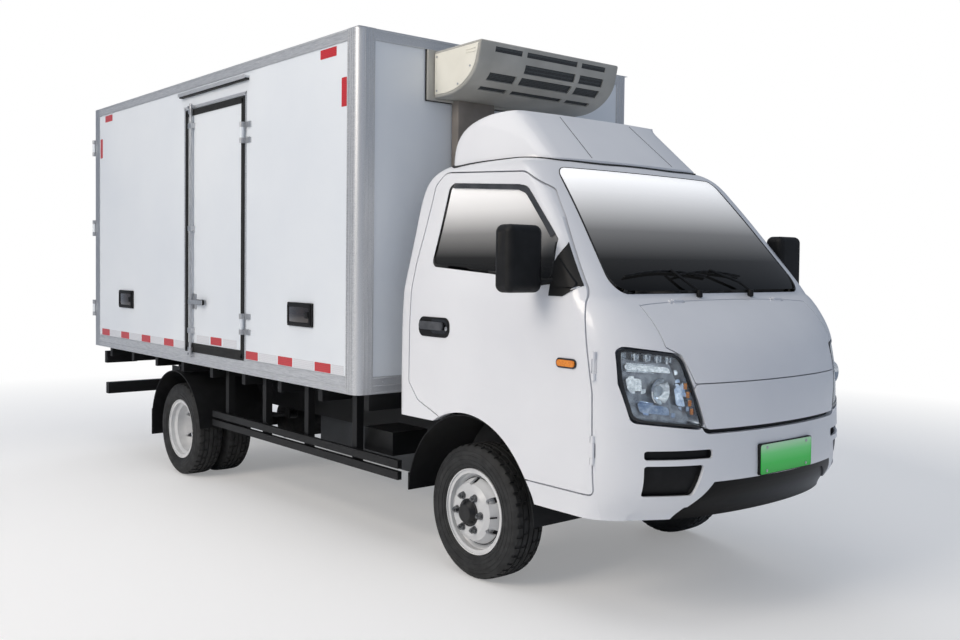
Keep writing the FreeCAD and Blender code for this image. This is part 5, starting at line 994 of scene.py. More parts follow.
for sign in (1, -1):
    wall, out = sign * edge_y, sign * (edge_y + rib_depth)
    for offset in (0.098, 0.074, 0.052):
        middle = box_front - offset
        rib((middle - 0.005, wall, floor_z + 0.003), (middle + 0.005, out, roof_z - 0.004))
    for z in low_ribs + high_ribs:
        gaps = [post_ends]
        if sign < 0 and door_low_z - 0.012 < z < door_high_z:
            gaps = [(post_ends[0], door_low_x - 0.028), (door_high_x + 0.028, post_ends[1])]
        for start, end in gaps:
            rib((start, wall, z - 0.004), (end, out, z + 0.004))
    for y in (0.935, 0.960, 0.984):
        rib((box_front, sign * (y - 0.005), floor_z + 0.003),
            (box_front + rib_depth, sign * (y + 0.005), roof_z - 0.004))
for z in (floor_z + 0.010, floor_z + 0.045, floor_z + 0.085, roof_z - 0.010, roof_z - 0.055):
    rib((box_front, -0.925, z - 0.004), (box_front + rib_depth, 0.925, z + 0.004))
settle(joined(ribs), "box_edge_ribs", aluminium, angle=35)

# %% Dome rivets
start_clean()
bpy.ops.mesh.primitive_uv_sphere_add(segments=10, ring_count=6, radius=0.0045, location=(0, 0, 0))
rivet = bpy.context.object
edit(rivet)
bpy.ops.mesh.bisect(plane_co=(0, 0, 0), plane_no=(0, 0, 1), clear_inner=True, use_fill=True)
bpy.ops.mesh.select_all(action="SELECT")
bpy.ops.transform.resize(value=(1, 1, 0.5), center_override=(0, 0, 0))
leave()
quarter = math.radians(90)
outwards = {"right": Matrix.Rotation(quarter, 4, "X"), "left": Matrix.Rotation(-quarter, 4, "X"),
            "front": Matrix.Rotation(quarter, 4, "Y")}
walls = (("right", -edge_y), ("left", edge_y))
places = []


def rivet_at(x, y, z, wall):
    """Notes down one more rivet on a wall."""
    places.append(Matrix.Translation((x, y, z)) @ outwards[wall])


def spread(start, end, count):
    """Even steps from a start to an end."""
    return [start + (end - start) * i / (count - 1) for i in range(count)]


for x in spread(box_rear + 0.14, box_front - 0.16, 28):
    for side, y in walls:
        rivet_at(x, y, roof_z - 0.030, side)
        if side == "left" or not door_low_x - 0.03 < x < door_high_x + 0.03:
            rivet_at(x, y, floor_z + 0.060, side)
for z in spread(floor_z + 0.12, roof_z - 0.12, 13):
    for side, y in walls:
        rivet_at(box_front - 0.086, y, z, side)
    for y in (-0.947, 0.947):
        rivet_at(box_front, y, z, "front")
for y in spread(-0.86, 0.86, 12):
    for z in (floor_z + 0.065, roof_z - 0.032):
        rivet_at(box_front, y, z, "front")
print("rivets", len(places))
settle(repeated(rivet, places), "box_edge_rivets", aluminium, angle=40)

# %% Caps of the front posts, the roof's sealing bead and the rain channel over the side door
caps = [soft_box((box_front - 0.104, sign * 0.925, roof_z - 0.0005),
                 (box_front + 0.0015, sign * edge_y, roof_z + 0.0015), 0.001) for sign in (1, -1)]
settle(joined(caps), "box_corner_caps", aluminium)
bead_z, bead_y = roof_z - 0.0038, 0.962
bead_edge = [(box_rear + 0.10, -bead_y, bead_z), (box_front - 0.068, -bead_y, bead_z),
             (box_front - 0.068, bead_y, bead_z), (box_rear + 0.10, bead_y, bead_z)]
bead = softened(sheet(bead_edge, 0.01, 0.010, (0, 0, 0.003), 3), 0.0013)
settle(bead, "roof_sealing_bead", cream_housing, angle=35)
drip_low_x, drip_high_x = door_low_x - 0.055, door_high_x + 0.055
drip_z = door_high_z + 0.100
# A black strip under the rail paints the shadow that the rail casts on the wall.
lip = soft_box((drip_low_x, -skin_y, drip_z - 0.012), (drip_high_x, -box_side - 0.027, drip_z - 0.0005))
settle(lip, "drip_rail_painted_shadow", black_rubber)
rail_edge = soft_box((drip_low_x - 0.002, -box_side - 0.0335, drip_z - 0.006),
                     (drip_high_x + 0.002, -box_side - 0.0365, drip_z + 0.018), 0.001)
settle(rail_edge, "drip_rail_edge", aluminium)
print("box edges dressed")

# %% [markdown]
# ## Cooling unit on the front wall
# The condenser sits in a thermoformed housing: a shell with a big quarter round at the bottom, closed by
# two cream end panels. Eleven slots let the air in, with black wire mesh behind them. The housing is a side
# outline drawn out along the width, and the slots are cut from it with a boolean. The hoses run down behind
# a cover.

# %% Finishes of the cooling unit
# The housing and its plate are cream moulding like the end panels; this grey paints the shade on the
# housing's downward front and on the plate.
unit_painted_shade_grey = varied("thermoformed_abs_painted_shade_grey", "A3A29C", "B3B2AC", 0.45, 200, 0.03, 2.0)
# The hose cover's brownish grey paints shade on cream moulding.
hose_cover_shade_paint = varied("grey_hose_cover_painted_shade", "7E7872", "918A83", 0.5, 160, 0.04, 2.5)
slot_mesh, mesh_tree, mesh_shader = finish("black_wire_mesh", "1B1D1E", 0.6)
mesh_cells = add(mesh_tree, "ShaderNodeTexVoronoi", {"Scale": 1000 / 7, "Randomness": 0.2},
                 {"Vector": place_in(mesh_tree)}).outputs["Distance"]
shaded(mesh_tree, mesh_shader, mesh_cells, "0B0C0D", "44484A", 0.25, 0.6)
bumped(mesh_tree, mesh_shader, mesh_cells, 0.6, 1.2)
print("cooling unit finishes made")

# %% Outline of the housing
unit_low, unit_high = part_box("refrigeration_unit")
unit_middle, unit_half = -0.035, 0.522
unit_bottom = unit_high.z - 0.262
round_length, round_height, lean, face_slope = 0.285, 0.200, math.radians(78), 0.33
round_back = unit_high.x - 0.302


def unit_face(z):
    """The point of the curved face at a height, and the direction that it looks in, both as (x, z)."""
    angle = math.acos(max(math.cos(lean), 1 - (z - unit_bottom) / round_height))
    x = round_back + round_length * math.sin(angle)
    above = max(0.0, z - unit_bottom - round_height * (1 - math.cos(lean)))
    outward = Vector((math.sin(angle) / round_length, -math.cos(angle) / round_height)).normalized()
    return Vector((x + above * face_slope, z)), outward


def unit_outline(inset, back):
    """Corner points (x, z) of the housing's side, drawn in by an inset."""
    steps = 14
    points = [(back, unit_bottom + inset)]
    for i in range(steps + 1):
        spot, outward = unit_face(unit_bottom + round_height * (1 - math.cos(lean * i / steps)))
        points.append(tuple(spot - outward * inset))
    top = unit_high.z - 0.004 - inset
    return points + [(min(unit_face(top)[0].x, unit_high.x) - inset, top), (back, top - 0.008)]


def across_unit(outline, low_y, high_y):
    """A solid whose side outline (x, z) is drawn out along Y."""
    return sheet([(x, low_y, z) for x, z in outline], push=(0, high_y - low_y, 0))


plate_front_x = unit_low.x + 0.020
housing = across_unit(unit_outline(0, plate_front_x), unit_middle - unit_half, unit_middle + unit_half)
softened(housing, 0.012, 4, 50)
print("housing outline drawn")

# %% Slots with mesh behind them
slot_rows = ((0.205, 0.231), (0.124, 0.168), (0.069, 0.105), (0.028, 0.043))
slot_columns = ((-0.415, -0.225), (-0.190, 0.190), (0.225, 0.415))
blank_slot = (slot_rows[1], slot_columns[0])


def slot_blocks(outer, inner, trim):
    """Curved blocks at the slots, from so far outside the face to so far inside it, and wider by a trim."""
    blocks = []
    for row in slot_rows:
        levels = spread(unit_bottom + row[0], unit_bottom + row[1], 5)
        faces = [unit_face(z) for z in levels]
        outline = [tuple(spot + outward * outer) for spot, outward in faces]
        outline += [tuple(spot + outward * inner) for spot, outward in reversed(faces)]
        for column in slot_columns:
            if (row, column) != blank_slot:
                start, end = unit_middle + column[0] - trim, unit_middle + column[1] + trim
                blocks.append(across_unit(outline, start, end))
    return joined(blocks)


cutter = slot_blocks(0.010, -0.026, 0.0)
meshes = slot_blocks(-0.008, -0.024, -0.0008)
with_modifier(housing, "BOOLEAN", object=cutter, operation="DIFFERENCE", solver="EXACT")
bpy.data.objects.remove(cutter)
settle(housing, "cooling_unit_housing", unit_painted_shade_grey)
settle(meshes, "cooling_unit_slot_mesh", slot_mesh)
print("slots cut")

# %% End panels, mounting plate and hose cover
ends, screws = [], []
screw_places = ((plate_front_x + 0.03, unit_bottom + 0.035), (plate_front_x + 0.03, unit_high.z - 0.045),
                (round_back + 0.12, unit_bottom + 0.050), (round_back + 0.22, unit_bottom + 0.130))
for sign in (-1, 1):
    face_y = unit_middle + sign * (unit_half - 0.001)
    panel = across_unit(unit_outline(0.016, plate_front_x + 0.012), face_y, face_y + sign * 0.005)
    ends.append(softened(panel, 0.0035, 3, 50))
    for z in (unit_high.z - 0.048, unit_high.z - 0.064):
        ends.append(soft_box((unit_high.x - 0.115, face_y, z),
                             (unit_high.x - 0.035, face_y + sign * 0.0085, z + 0.005), 0.0015))
    start = unit_middle + sign * (unit_half + 0.003)
    screws += [round_bar((x, start, z), (x, start + sign * 0.0035, z), 0.006, 12) for x, z in screw_places]
settle(joined(ends), "cooling_unit_end_panels", cream_housing)
screws += [round_bar((unit_low.x + 0.056, y, z), (unit_low.x + 0.0605, y, z), 0.006, 12)
           for y in (-0.36, -0.21) for z in (1.30, 1.75, 2.20)]
settle(joined(screws), "cooling_unit_screws", stainless)


def behind_unit(margin, below, top, start, end, bevel, segments):
    """A flat plate behind the housing, wider than it by a margin."""
    return soft_box((start, unit_middle - unit_half - margin, unit_bottom - below),
                    (end, unit_middle + unit_half + margin, unit_high.z - top), bevel, segments)


rim = behind_unit(0.040, 0.012, 0.003, unit_low.x + 0.003, plate_front_x, 0.005, 3)
settle(rim, "cooling_unit_plate", unit_painted_shade_grey)
gasket = behind_unit(0.045, 0.017, 0.001, unit_low.x, unit_low.x + 0.004, 0.001, 2)
settle(gasket, "cooling_unit_gasket", black_rubber)
covers = [soft_box((unit_low.x, -0.416 - proud, low_z), (unit_low.x + 0.055 + proud, -0.149, high_z),
                   0.010, 3)
          for low_z, high_z, proud in ((unit_low.z, 1.62, 0.0), (1.60, 2.06, 0.0015),
                                       (2.04, unit_bottom + 0.006, 0.003))]
settle(joined(covers), "cooling_hose_cover", hose_cover_shade_paint)
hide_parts("refrigeration_unit")
print("cooling unit built")

# %% [markdown]
# ## Air deflector on the cab's roof
# It is one moulded shell. Seen from the side its back is a rounded curve and its front a long straight slope.
# A stack of outlines, each a little smaller than the one below, is drawn as closed loops. Bridging them gives
# one smooth skin, and a wall then makes it a real shell. A black seal runs round its foot.

# %% Stack of outlines
deflector_foot, deflector_height, deflector_back = 2.036, 0.256, 0.340
curve_power, top_share = 2.6, 0.999


def deflector_ring(share):
    """The corners of the shell's outline at a share of its height."""
    back = front_axle - deflector_back * (1 - share ** curve_power) ** (1 / curve_power)
    corner_x, corner_y = front_axle + 0.2735 - 0.2735 * share, 0.560 - 0.051 * share
    nose_x, nose_y = front_axle + 0.318 - 0.297 * share, 0.280 - 0.031 * share
    along = (back - front_axle + deflector_back) / (corner_x - front_axle + deflector_back)
    back_y = 0.692 - 0.012 * share + (corner_y - 0.692 + 0.012 * share) * along
    half = [(back, back_y * 0.5), (back, back_y), (corner_x, corner_y), (nose_x, nose_y)]
    z = deflector_foot + deflector_height * share
    return [(x, y, z) for x, y in half] + [(x, -y, z) for x, y in reversed(half)]


rings = []
for share in [math.sin(math.pi / 2 * i / 14) for i in range(14)] + [top_share]:
    corners = deflector_ring(share)
    rings.append(sheet(corners, min(0.075, (corners[3][0] - corners[0][0]) * 0.28), segments=5))
foot = copy_of(rings[0], Matrix.Translation((0, 0, -0.014)))
deflector = joined([foot] + rings)
edit(deflector, "EDGE")
bpy.ops.mesh.delete(type="ONLY_FACE")
bpy.ops.mesh.select_all(action="SELECT")
bpy.ops.mesh.bridge_edge_loops(type="SINGLE")
roof_line = deflector_foot + deflector_height * 0.99
pick(deflector, lambda edge: edge.is_boundary and edge.verts[0].co.z > roof_line, "edges")
bpy.ops.mesh.edge_face_add()
leave(False)
with_modifier(deflector, "SOLIDIFY", thickness=0.005, offset=-1.0)
print("deflector faces", len(deflector.data.polygons))

# %% Seams and seal of the deflector
seams = []
for sign in (-1, 1):
    line = [(front_axle + 0.035, sign * 0.262, 2.4), (front_axle + 0.300, sign * 0.302, 2.4),
            (front_axle + 0.300, sign * 0.305, 2.4), (front_axle + 0.035, sign * 0.265, 2.4)]
    seams.append(laid_on(gridded(sheet(line), axes="X"), deflector, "Z", False, 0.0003, 0.0008))
settle(joined(seams), "deflector_seams", black_grained, angle=35)
middle = Vector((front_axle, 0, deflector_foot))
foot_corners = [Vector(corner) for corner in deflector_ring(0.0)]
wide = [tuple(p + (p - middle).normalized() * 0.012 + Vector((0, 0, 0.5))) for p in foot_corners]
seal = gridded(sheet(wide, 0.078, ring=0.022, segments=5), 0.04, "XY")
laid_on(seal, "cab_shell", "Z", False, 0.0004, 0.0045)
settle(seal, "deflector_seal", black_rubber, angle=35)
settle(deflector, "roof_deflector", white_enamel, angle=40)
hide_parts("roof_fairing")
print("deflector built")

# %% [markdown]
# ## Locks, hinges, vents and the rear
# A door of a cold box is held by a turning rod with a cam at each end. The cams grip keepers on the frame.
# The hinges are bolted through the wall. Each vent has a dark glossy flap in a black frame. At the back,
# black cases hold the lamps behind red, amber and clear lenses. Small parts are placed where a ray meets
# the CAD surface.

# %% Bolts where a ray meets a surface


def face_from(node, spot, aim):
    """The point where a ray from far outside through a spot meets a node."""
    return on_skin(node, Vector(spot) - Vector(aim) * 3, aim)[0]


def bolts(node, spots, aim, radius=0.006, height=0.004):
    """Hexagon heads that stand on a node where rays through the spots meet it."""
    hits = [face_from(node, spot, aim) for spot in spots]
    return [round_bar(hit, hit - Vector(aim) * height, radius, 6, 0.0006) for hit in hits if hit is not None]


hinge_levels = (1.1435, 2.3135)
bolt_groups = (("side_door", (-0.020, -0.040), 0.012, "side_door_hinge_bolts", "side_door_body"),
               ("side_hinges", (0.055, 0.075), 0.033, "side_hinge_pad_bolts", "chassis"))
for node, columns, apart, name, body in bolt_groups:
    spots = [(door_high_x + a, 0, z + b) for a in columns for z in hinge_levels for b in (-apart, apart)]
    heads = bolts(node, spots, (0, 1, 0))
    print(name, len(heads))
    settle(joined(heads), name, stainless, body)

# %% Lock of the side door
rod_x, rod_y = door_low_x + 0.120, -box_side - 0.020
lock_parts = [soft_box((rod_x - 0.030, -skin_y, 1.205), (rod_x + 0.055, -box_side - 0.006, 1.310), 0.003)]
lock_parts += [soft_box((rod_x - 0.024, rod_y - 0.010, z), (rod_x + 0.012, rod_y + 0.012, z + 0.030),
                        0.004, 3)
               for z in (door_low_z + 0.004, door_high_z - 0.034)]
lock_parts.append(soft_box((rod_x + 0.150, -skin_y, 1.236), (rod_x + 0.190, -box_side - 0.012, 1.276), 0.003))
spots = [(rod_x + a, 0, z) for a in (-0.022, 0.047) for z in (1.213, 1.302)]
lock_parts += bolts("side_door", spots, (0, 1, 0), 0.005, 0.009)
settle(joined(lock_parts), "side_door_lock_plates", stainless, "side_door_body")
grip = soft_box((rod_x + 0.115, rod_y - 0.017, 1.238), (rod_x + 0.212, rod_y + 0.003, 1.274), 0.007, 3)
settle(grip, "side_door_lock_grip", black_grained, "side_door_body", 35)
keepers = [soft_box((rod_x + x, -box_side - 0.004, z), (rod_x + x + 0.006, rod_y - 0.010, z + 0.016), 0.0015)
           for z in (door_low_z - 0.022, door_high_z + 0.006) for x in (-0.034, 0.026)]
settle(joined(keepers), "side_door_keepers", stainless)
print("side door lock made")

# %% Flaps of the two vents
flap_brown = varied("smoked_brown_acrylic_flap", "1C1512", "2A201B", 0.12, 90, Coat_Weight=0.6)
vent_length = 0.272
for name, start in (("front", -1.366), ("rear", -3.983)):
    low_x, high_x = front_axle + start, front_axle + start + vent_length
    face_y = face_from("vent_hatches", ((low_x + high_x) / 2, 0, 1.233), (0, 1, 0)).y
    edge = rectangle("Y", face_y, (low_x + 0.010, 1.174), (high_x - 0.010, 1.292))
    border = softened(sheet(edge, 0.008, 0.014, (0, -0.005, 0)), 0.0015)
    latch = soft_box((high_x - 0.060, face_y - 0.002, 1.215), (high_x - 0.026, face_y - 0.011, 1.251), 0.003)
    hinge = round_bar((low_x + 0.030, face_y - 0.004, 1.281), (high_x - 0.030, face_y - 0.004, 1.281),
                      0.004, 12)
    settle(joined([border, latch, hinge]), f"vent_{name}_frame", black_grained)
    flap = soft_box((low_x + 0.026, face_y - 0.0002, 1.190), (high_x - 0.028, face_y - 0.0035, 1.276))
    settle(flap, f"vent_{name}_flap", flap_brown)
print("vent flaps made")

# %% Tail lamps
lamp_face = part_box("tail_lamps")[0].x
clear_lens = varied("clear_ribbed_lens", "B9BDC2", "D9DCE0", 0.12, 8, Coat_Weight=0.6)
lenses = (("red", 0.722, 0.825, tail_lens), ("amber", 0.829, 0.892, amber),
          ("clear", 0.896, 0.948, clear_lens))
for side, sign in SIDES:
    for name, start, end, material in lenses:
        lens = soft_box((lamp_face + 0.001, sign * start, 0.702), (lamp_face - 0.007, sign * end, 0.774),
                        0.004, 3)
        settle(lens, f"tail_lens_{name}_{side}", material)
print("tail lenses made")

# %% Gaskets, tape and lock details of the rear doors
leaf_x = face_from("rear_door_right", (0, -0.60, 1.80), (1, 0, 0)).x
skin_x = leaf_x - 0.0002
leaf_levels = [floor_z + (roof_z - floor_z) * share for share in (0.16, 0.50, 0.84)]
leaf_tapes = {"red": ((0.080, 0.130, 2.40, 2.55), (0.930, 0.980, 2.40, 2.55), (0.240, 0.390, 0.985, 1.035),
                      (0.640, 0.790, 0.985, 1.035)),
              "white": ((0.400, 0.630, 0.985, 1.035), (0.800, 0.980, 0.985, 1.035))}
for side, sign in SIDES:
    body, leaf = f"rear_{side}_body", f"rear_door_{side}"
    edge = rectangle("X", leaf_x, (sign * 0.004, 0.926), (sign * 1.020, 2.654))
    rubber = softened(sheet(edge, 0.004, 0.030, (-0.004, 0, 0), 2), 0.001)
    settle(rubber, f"rear_door_gasket_{side}", black_rubber, body)
    plates = [soft_box((skin_x, sign * 0.135, 1.225), (leaf_x - 0.005, sign * 0.235, 1.330), 0.003),
              soft_box((skin_x, sign * 0.345, 1.245), (leaf_x - 0.010, sign * 0.385, 1.285), 0.003)]
    spots = [(0, sign * y, z + b) for y in (0.90, 0.95) for z in leaf_levels for b in (-0.014, 0.014)]
    plates += bolts(leaf, spots, (1, 0, 0))
    settle(joined(plates), f"rear_door_lock_plates_{side}", stainless, body)
    for kind, spans in leaf_tapes.items():
        tapes = [sheet(rectangle("X", skin_x, (sign * a, low), (sign * b, high)), 0.003, 0.0,
                       (-0.0007, 0, 0), 2)
                 for a, b, low, high in spans]
        settle(joined(tapes), f"rear_door_tape_{kind}_{side}", tape_film[kind], body)
print("rear doors dressed, face at x", round(leaf_x, 4))

# %% Marker lamps on the portal
portal_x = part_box("rear_portal")[0].x
markers = [soft_box((portal_x + 0.001, y - 0.030, 2.694), (portal_x - 0.006, y + 0.030, 2.714), 0.003)
           for y in (-0.90, 0.90)]
settle(joined(markers), "rear_marker_lamps", tail_lens)
print("rear markers made")

# %% [markdown]
# ## Wipers and mirror feet
# Both wipers are parked low on the glass. Each is a flat arm on a capped pivot, with a bowed carrier that
# holds a thin rubber lip on the glass. Black triangles behind the front edge of the door windows carry the
# mirrors.

# %% Parked wipers
wiper_parts, wiper_rubber = [], []


def on_screen(y, z, lift):
    """A point over the windscreen or the cab round it, lifted along the surface's own direction."""
    start, aim = (front_axle + 1.5, y, z), (-1, 0, 0)
    place, normal = on_skin("windscreen", start, aim)
    if place is None:
        place, normal = on_skin("cab_shell", start, aim)
    return place + (normal if normal.x > 0 else -normal) * lift


def chain(points, radius, sides=8):
    """Short rods end to end through the points."""
    return [round_bar(a, b + (b - a).normalized() * radius * 0.3, radius, sides, radius * 0.2)
            for a, b in zip(points, points[1:])]


for pivot_y, low_y, high_y in ((-0.19, -0.600, -0.060), (0.20, -0.290, 0.200)):
    shares = spread(0.0, 1.0, 10)
    line = [(low_y + (high_y - low_y) * share, 1.474 + 0.022 * math.sin(math.pi * share)) for share in shares]
    blade = [on_screen(y, z, 0.014) for y, z in line]
    lip = [on_screen(y, z, 0.005) for y, z in line]
    wiper_parts += chain(blade, 0.0042)
    wiper_rubber += chain(lip, 0.0028, 6)
    pivot = Vector((front_axle + 0.868, pivot_y, 1.402))
    elbow = on_screen(pivot_y - 0.055, 1.440, 0.024)
    arm = [pivot + Vector((0, 0, 0.012)), elbow, blade[5] + Vector((0.006, 0, 0.004))]
    wiper_parts += chain(arm, 0.0065, 10)
    foot, cap = pivot - Vector((0, 0, 0.016)), pivot + Vector((0, 0, 0.017))
    wiper_parts.append(round_bar(foot, cap, 0.014, 20, 0.003))
    for i in (2, 5, 7):
        wiper_parts.append(round_bar(lip[i], blade[i] + (blade[i] - lip[i]) * 0.3, 0.0046, 8))
wipers = joined(wiper_parts)
settle(wipers, "wiper_arms", black_grained, angle=40)
settle(joined(wiper_rubber), "wiper_rubbers", black_rubber, angle=40)
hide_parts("wipers")
print("wipers laid on the glass")

# %% Triangles that carry the mirrors, and visors over the door windows


def hit_from_side(node, y, place):
    """Where a line from well outside the cab, level and square to it, meets a node at (x, z)."""
    return on_skin(node, (place[0], y, place[1]), (0, -1 if y > 0 else 1, 0))[0]


def edge_between(node, y, on_it, off_it):
    """The last (x, z) that is still on a node on the way to a place that is off it."""
    for _ in range(12):
        middle = ((on_it[0] + off_it[0]) / 2, (on_it[1] + off_it[1]) / 2)
        if hit_from_side(node, y, middle) is not None:
            on_it = middle
        else:
            off_it = middle
    return on_it


def net(rows, thick):
    """A net of faces over rows of as many points, with a wall."""
    lines = []
    for row in rows:
        lines.append(drawn_line(row))
        leave()
    piece = joined(lines)
    edit(piece, "EDGE")
    bpy.ops.mesh.bridge_edge_loops(type="SINGLE")
    leave(False)
    return with_modifier(piece, "SOLIDIFY", thickness=thick, offset=0.0)


visor_smoke = varied("smoked_visor_acrylic", "2E2F31", "3C3D40", 0.15, 90, Coat_Weight=0.4)
post_x = front_axle + 0.588
foot_low, foot_top = 1.392, 1.625
foot_levels = (foot_low, *[1.415 + 0.025 * i for i in range(8)], 1.610, foot_top)
for side, sign in SIDES:
    door, pane, outside = f"cab_door_{side}", f"door_glass_{side}", sign * beside_cab
    rows = []
    for z in foot_levels:
        front = edge_between(door, outside, (post_x, z), (front_axle + 0.9, z))[0] - 0.002
        front = min(front, front_axle + 0.655 + (z - foot_low) * 2.0)
        open_z = max(z, 1.470)
        rear = edge_between(door, outside, (post_x, open_z), (front_axle + 0.45, open_z))[0]
        rear += 0.003 + (front - rear) * max(0.0, (z - 1.550) / 0.080)
        rows.append([hit_from_side(door, outside, (x, z)) + Vector((0.0015, sign * 0.004, 0))
                     for x in spread(rear, front, 7)])
    settle(net(rows, 0.003), f"mirror_foot_{side}", black_grained, f"door_{side}_body", 35)
    edge_points = []
    for x in [front_axle - 0.23 + 0.07 * i for i in range(9)]:
        edge_points.append((edge_between(door, outside, (x, 1.957), (x, 1.84)), (0.0, -0.024)))
    for z in (1.885, 1.850, 1.800, 1.750, 1.700, 1.660):
        x = front_axle + 0.578 - (z - 1.640) * 0.74
        edge_points.append((edge_between(door, outside, (x, z), (x - 0.178, z)), (-0.022, -0.012)))
    outer, inner = [], []
    for place, step in edge_points:
        on_frame = hit_from_side(door, outside, place)
        on_glass = hit_from_side(pane, outside, (place[0] + step[0], place[1] + step[1]))
        if on_frame is not None and on_glass is not None:
            outer.append(on_frame + Vector((0, sign * 0.001, 0.002)))
            inner.append(on_glass + Vector((0, sign * 0.009, 0)))
    print(side, "visor points", len(outer))
    visor = net([outer, inner], 0.002)
    settle(visor, f"window_visor_{side}", visor_smoke, f"door_{side}_body")

# %% Two colours on the bumper
bumper_enamel, bumper_tree, bumper_shader = finish("two_tone_bumper_enamel", "E8EAEE", 0.32,
                                                   Coat_Roughness=0.06)
spot = add(bumper_tree, "ShaderNodeSeparateXYZ", None, {"Vector": place_in(bumper_tree)})


def between(low, high, start, end, value):
    """A number that runs from a start to an end while a value goes from low to high."""
    settings = {"From Min": low, "From Max": high, "To Min": start, "To Max": end}
    return add(bumper_tree, "ShaderNodeMapRange", settings, {"Value": value}).outputs["Result"]


off_middle = add(bumper_tree, "ShaderNodeMath", {"operation": "ABSOLUTE"}, {"0": spot.outputs["Y"]})
line_height = add(bumper_tree, "ShaderNodeMath", {"operation": "ADD"},
                  {"0": between(0.440, 1.440, 0.0, 1.35, off_middle.outputs[0]), "1": spot.outputs["Z"]})
below_line = between(0.629, 0.631, 1.0, 0.0, line_height.outputs[0])
shaded(bumper_tree, bumper_shader, below_line, "E4E6EA", "070708", 0.4, 0.6)
for socket, painted, plain in (("Coat Weight", 0.6, 0.0), ("Specular IOR Level", 0.5, 0.15)):
    bumper_tree.links.new(between(0.0, 1.0, painted, plain, below_line), bumper_shader.inputs[socket])
for node in ("front_bumper", "bumper_valance"):
    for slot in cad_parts[node].material_slots:
        slot.material = bumper_enamel
print("bumper painted in two colours")

# %% [markdown]
# ## Inside the cab
# The driver has a single seat and the passengers share a bench. Both are foam cushions in a woven cover.
# Each pad starts as a rounded block that is turned into an even net of small faces, and a cloth simulation
# blows it up a little, so that it crowns in the middle and pulls in at its edges. Channels are then pressed
# in where the cover has risen furthest.

# %% Woven seat cover
seat_cover, cover_tree, cover_shader = finish("grey_woven_seat_cover", "34373C", 0.85, Sheen_Weight=0.3)
on_cover = place_in(cover_tree)
threads = [add(cover_tree, "ShaderNodeTexWave",
               {"bands_direction": axis, "Scale": 1000 / 4 / 20, "Distortion": 0.6},
               {"Vector": on_cover}).outputs["Fac"] for axis in ("X", "Y")]
crossing = add(cover_tree, "ShaderNodeMath", {"operation": "MULTIPLY"}, {"0": threads[0], "1": threads[1]})
shaded(cover_tree, cover_shader, crossing.outputs[0], "25272B", "4A4E55", 0.1, 0.7)
bumped(cover_tree, cover_shader, crossing.outputs[0], 0.5, 0.5)
print("seat cover woven, threads drawn 4 mm apart so that they show")

# %% Blown-up pads
most_rise, foam_round, channel_depth, channel_width = 0.010, 0.030, 0.007, 0.009


def pad(low, high, turn, channels):
    """A foam pad between two corners, which is then turned and shifted about its own middle."""
    piece = soft_box(low, high, foam_round, 4)
    with_modifier(piece, "REMESH", mode="VOXEL", voxel_size=0.010)
    still = [vertex.co.copy() for vertex in piece.data.vertices]
    piece.modifiers.new("cloth", "CLOTH")
    settings = piece.modifiers["cloth"].settings
    settings.use_pressure = True
    settings.uniform_pressure_force = 4.0
    settings.effector_weights.gravity = 0.0
    for step in range(1, 16):
        bpy.context.scene.frame_set(step)
    bpy.ops.object.modifier_apply(modifier="cloth")
    for vertex, start in zip(piece.data.vertices, still):
        shift = vertex.co - start
        vertex.co = start + shift * min(1.0, most_rise / max(shift.length, 0.0001))
    thin = min(range(3), key=lambda k: high[k] - low[k])
    for vertex in piece.data.vertices:
        for axis, place in channels:
            if vertex.co[thin] > (low[thin] + high[thin]) / 2:
                vertex.co[thin] -= channel_depth * math.exp(-((vertex.co[axis] - place) / channel_width) ** 2)
    piece.data.transform(turn)
    return with_modifier(piece, "SUBSURF", levels=1, render_levels=1)


seat_front = front_axle + 0.190
lean_back = Matrix.Translation((seat_front - 0.480, 0, 1.035)) @ Matrix.Rotation(math.radians(-14), 4, "Y")
for name, low_y, high_y, seams in (("driver", 0.150, 0.650, (0.265, 0.535)),
                                   ("bench", -0.720, 0.070, (-0.600, -0.325, -0.050))):
    channels = [(1, y) for y in seams]
    cushion = pad((seat_front - 0.474, low_y + 0.008, 0.934), (seat_front - 0.010, high_y - 0.008, 1.048),
                  Matrix.Identity(4), channels + [(0, seat_front - 0.130)])
    back = pad((0.010, low_y + 0.008, 0.028), (0.104, high_y - 0.008, 0.552), lean_back,
               channels + [(2, 0.360)])
    for kind, piece in (("cushion", cushion), ("back", back)):
        settle(piece, f"seat_{kind}_{name}", seat_cover, angle=60)
    if name == "driver":
        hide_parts("seats")
    base = soft_box((seat_front - 0.440, low_y + 0.040, 0.906), (seat_front - 0.040, high_y - 0.040, 0.938),
                    0.004)
    shell = joined([soft_box((0.002, low_y + 0.020, 0.010), (0.014, high_y - 0.020, 0.520), 0.004)])
    shell.data.transform(lean_back)
    settle(joined([base, shell]), f"seat_base_{name}", black_grained, angle=35)
    print(name, "seat:", len(cushion.data.polygons), "and", len(back.data.polygons), "faces")

# %% Dashboard fittings
dash_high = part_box("dashboard")[1]
driver_y = sum(corner.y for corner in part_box("steering_wheel")) / 2
dash_x = face_from("dashboard", (0, 0, 1.20), (1, 0, 0)).x
fittings = [soft_box((dash_high.x - 0.260, driver_y - 0.150, 1.335),
                     (dash_high.x - 0.140, driver_y + 0.150, 1.372), 0.014, 4)]
for y in (-0.60, -0.10, 0.10, 0.62):
    fittings.append(soft_box((dash_x - 0.004, y - 0.055, 1.225), (dash_x + 0.002, y + 0.055, 1.285), 0.004))
    fittings += [soft_box((dash_x - 0.007, y - 0.048, z), (dash_x - 0.003, y + 0.048, z + 0.004), 0.001)
                 for z in spread(1.235, 1.2725, 4)]
fittings.append(soft_box((dash_x - 0.004, -0.125, 1.090), (dash_x + 0.002, 0.125, 1.200), 0.006, 3))
settle(joined(fittings), "dashboard_fittings", dash_plastic, angle=35)
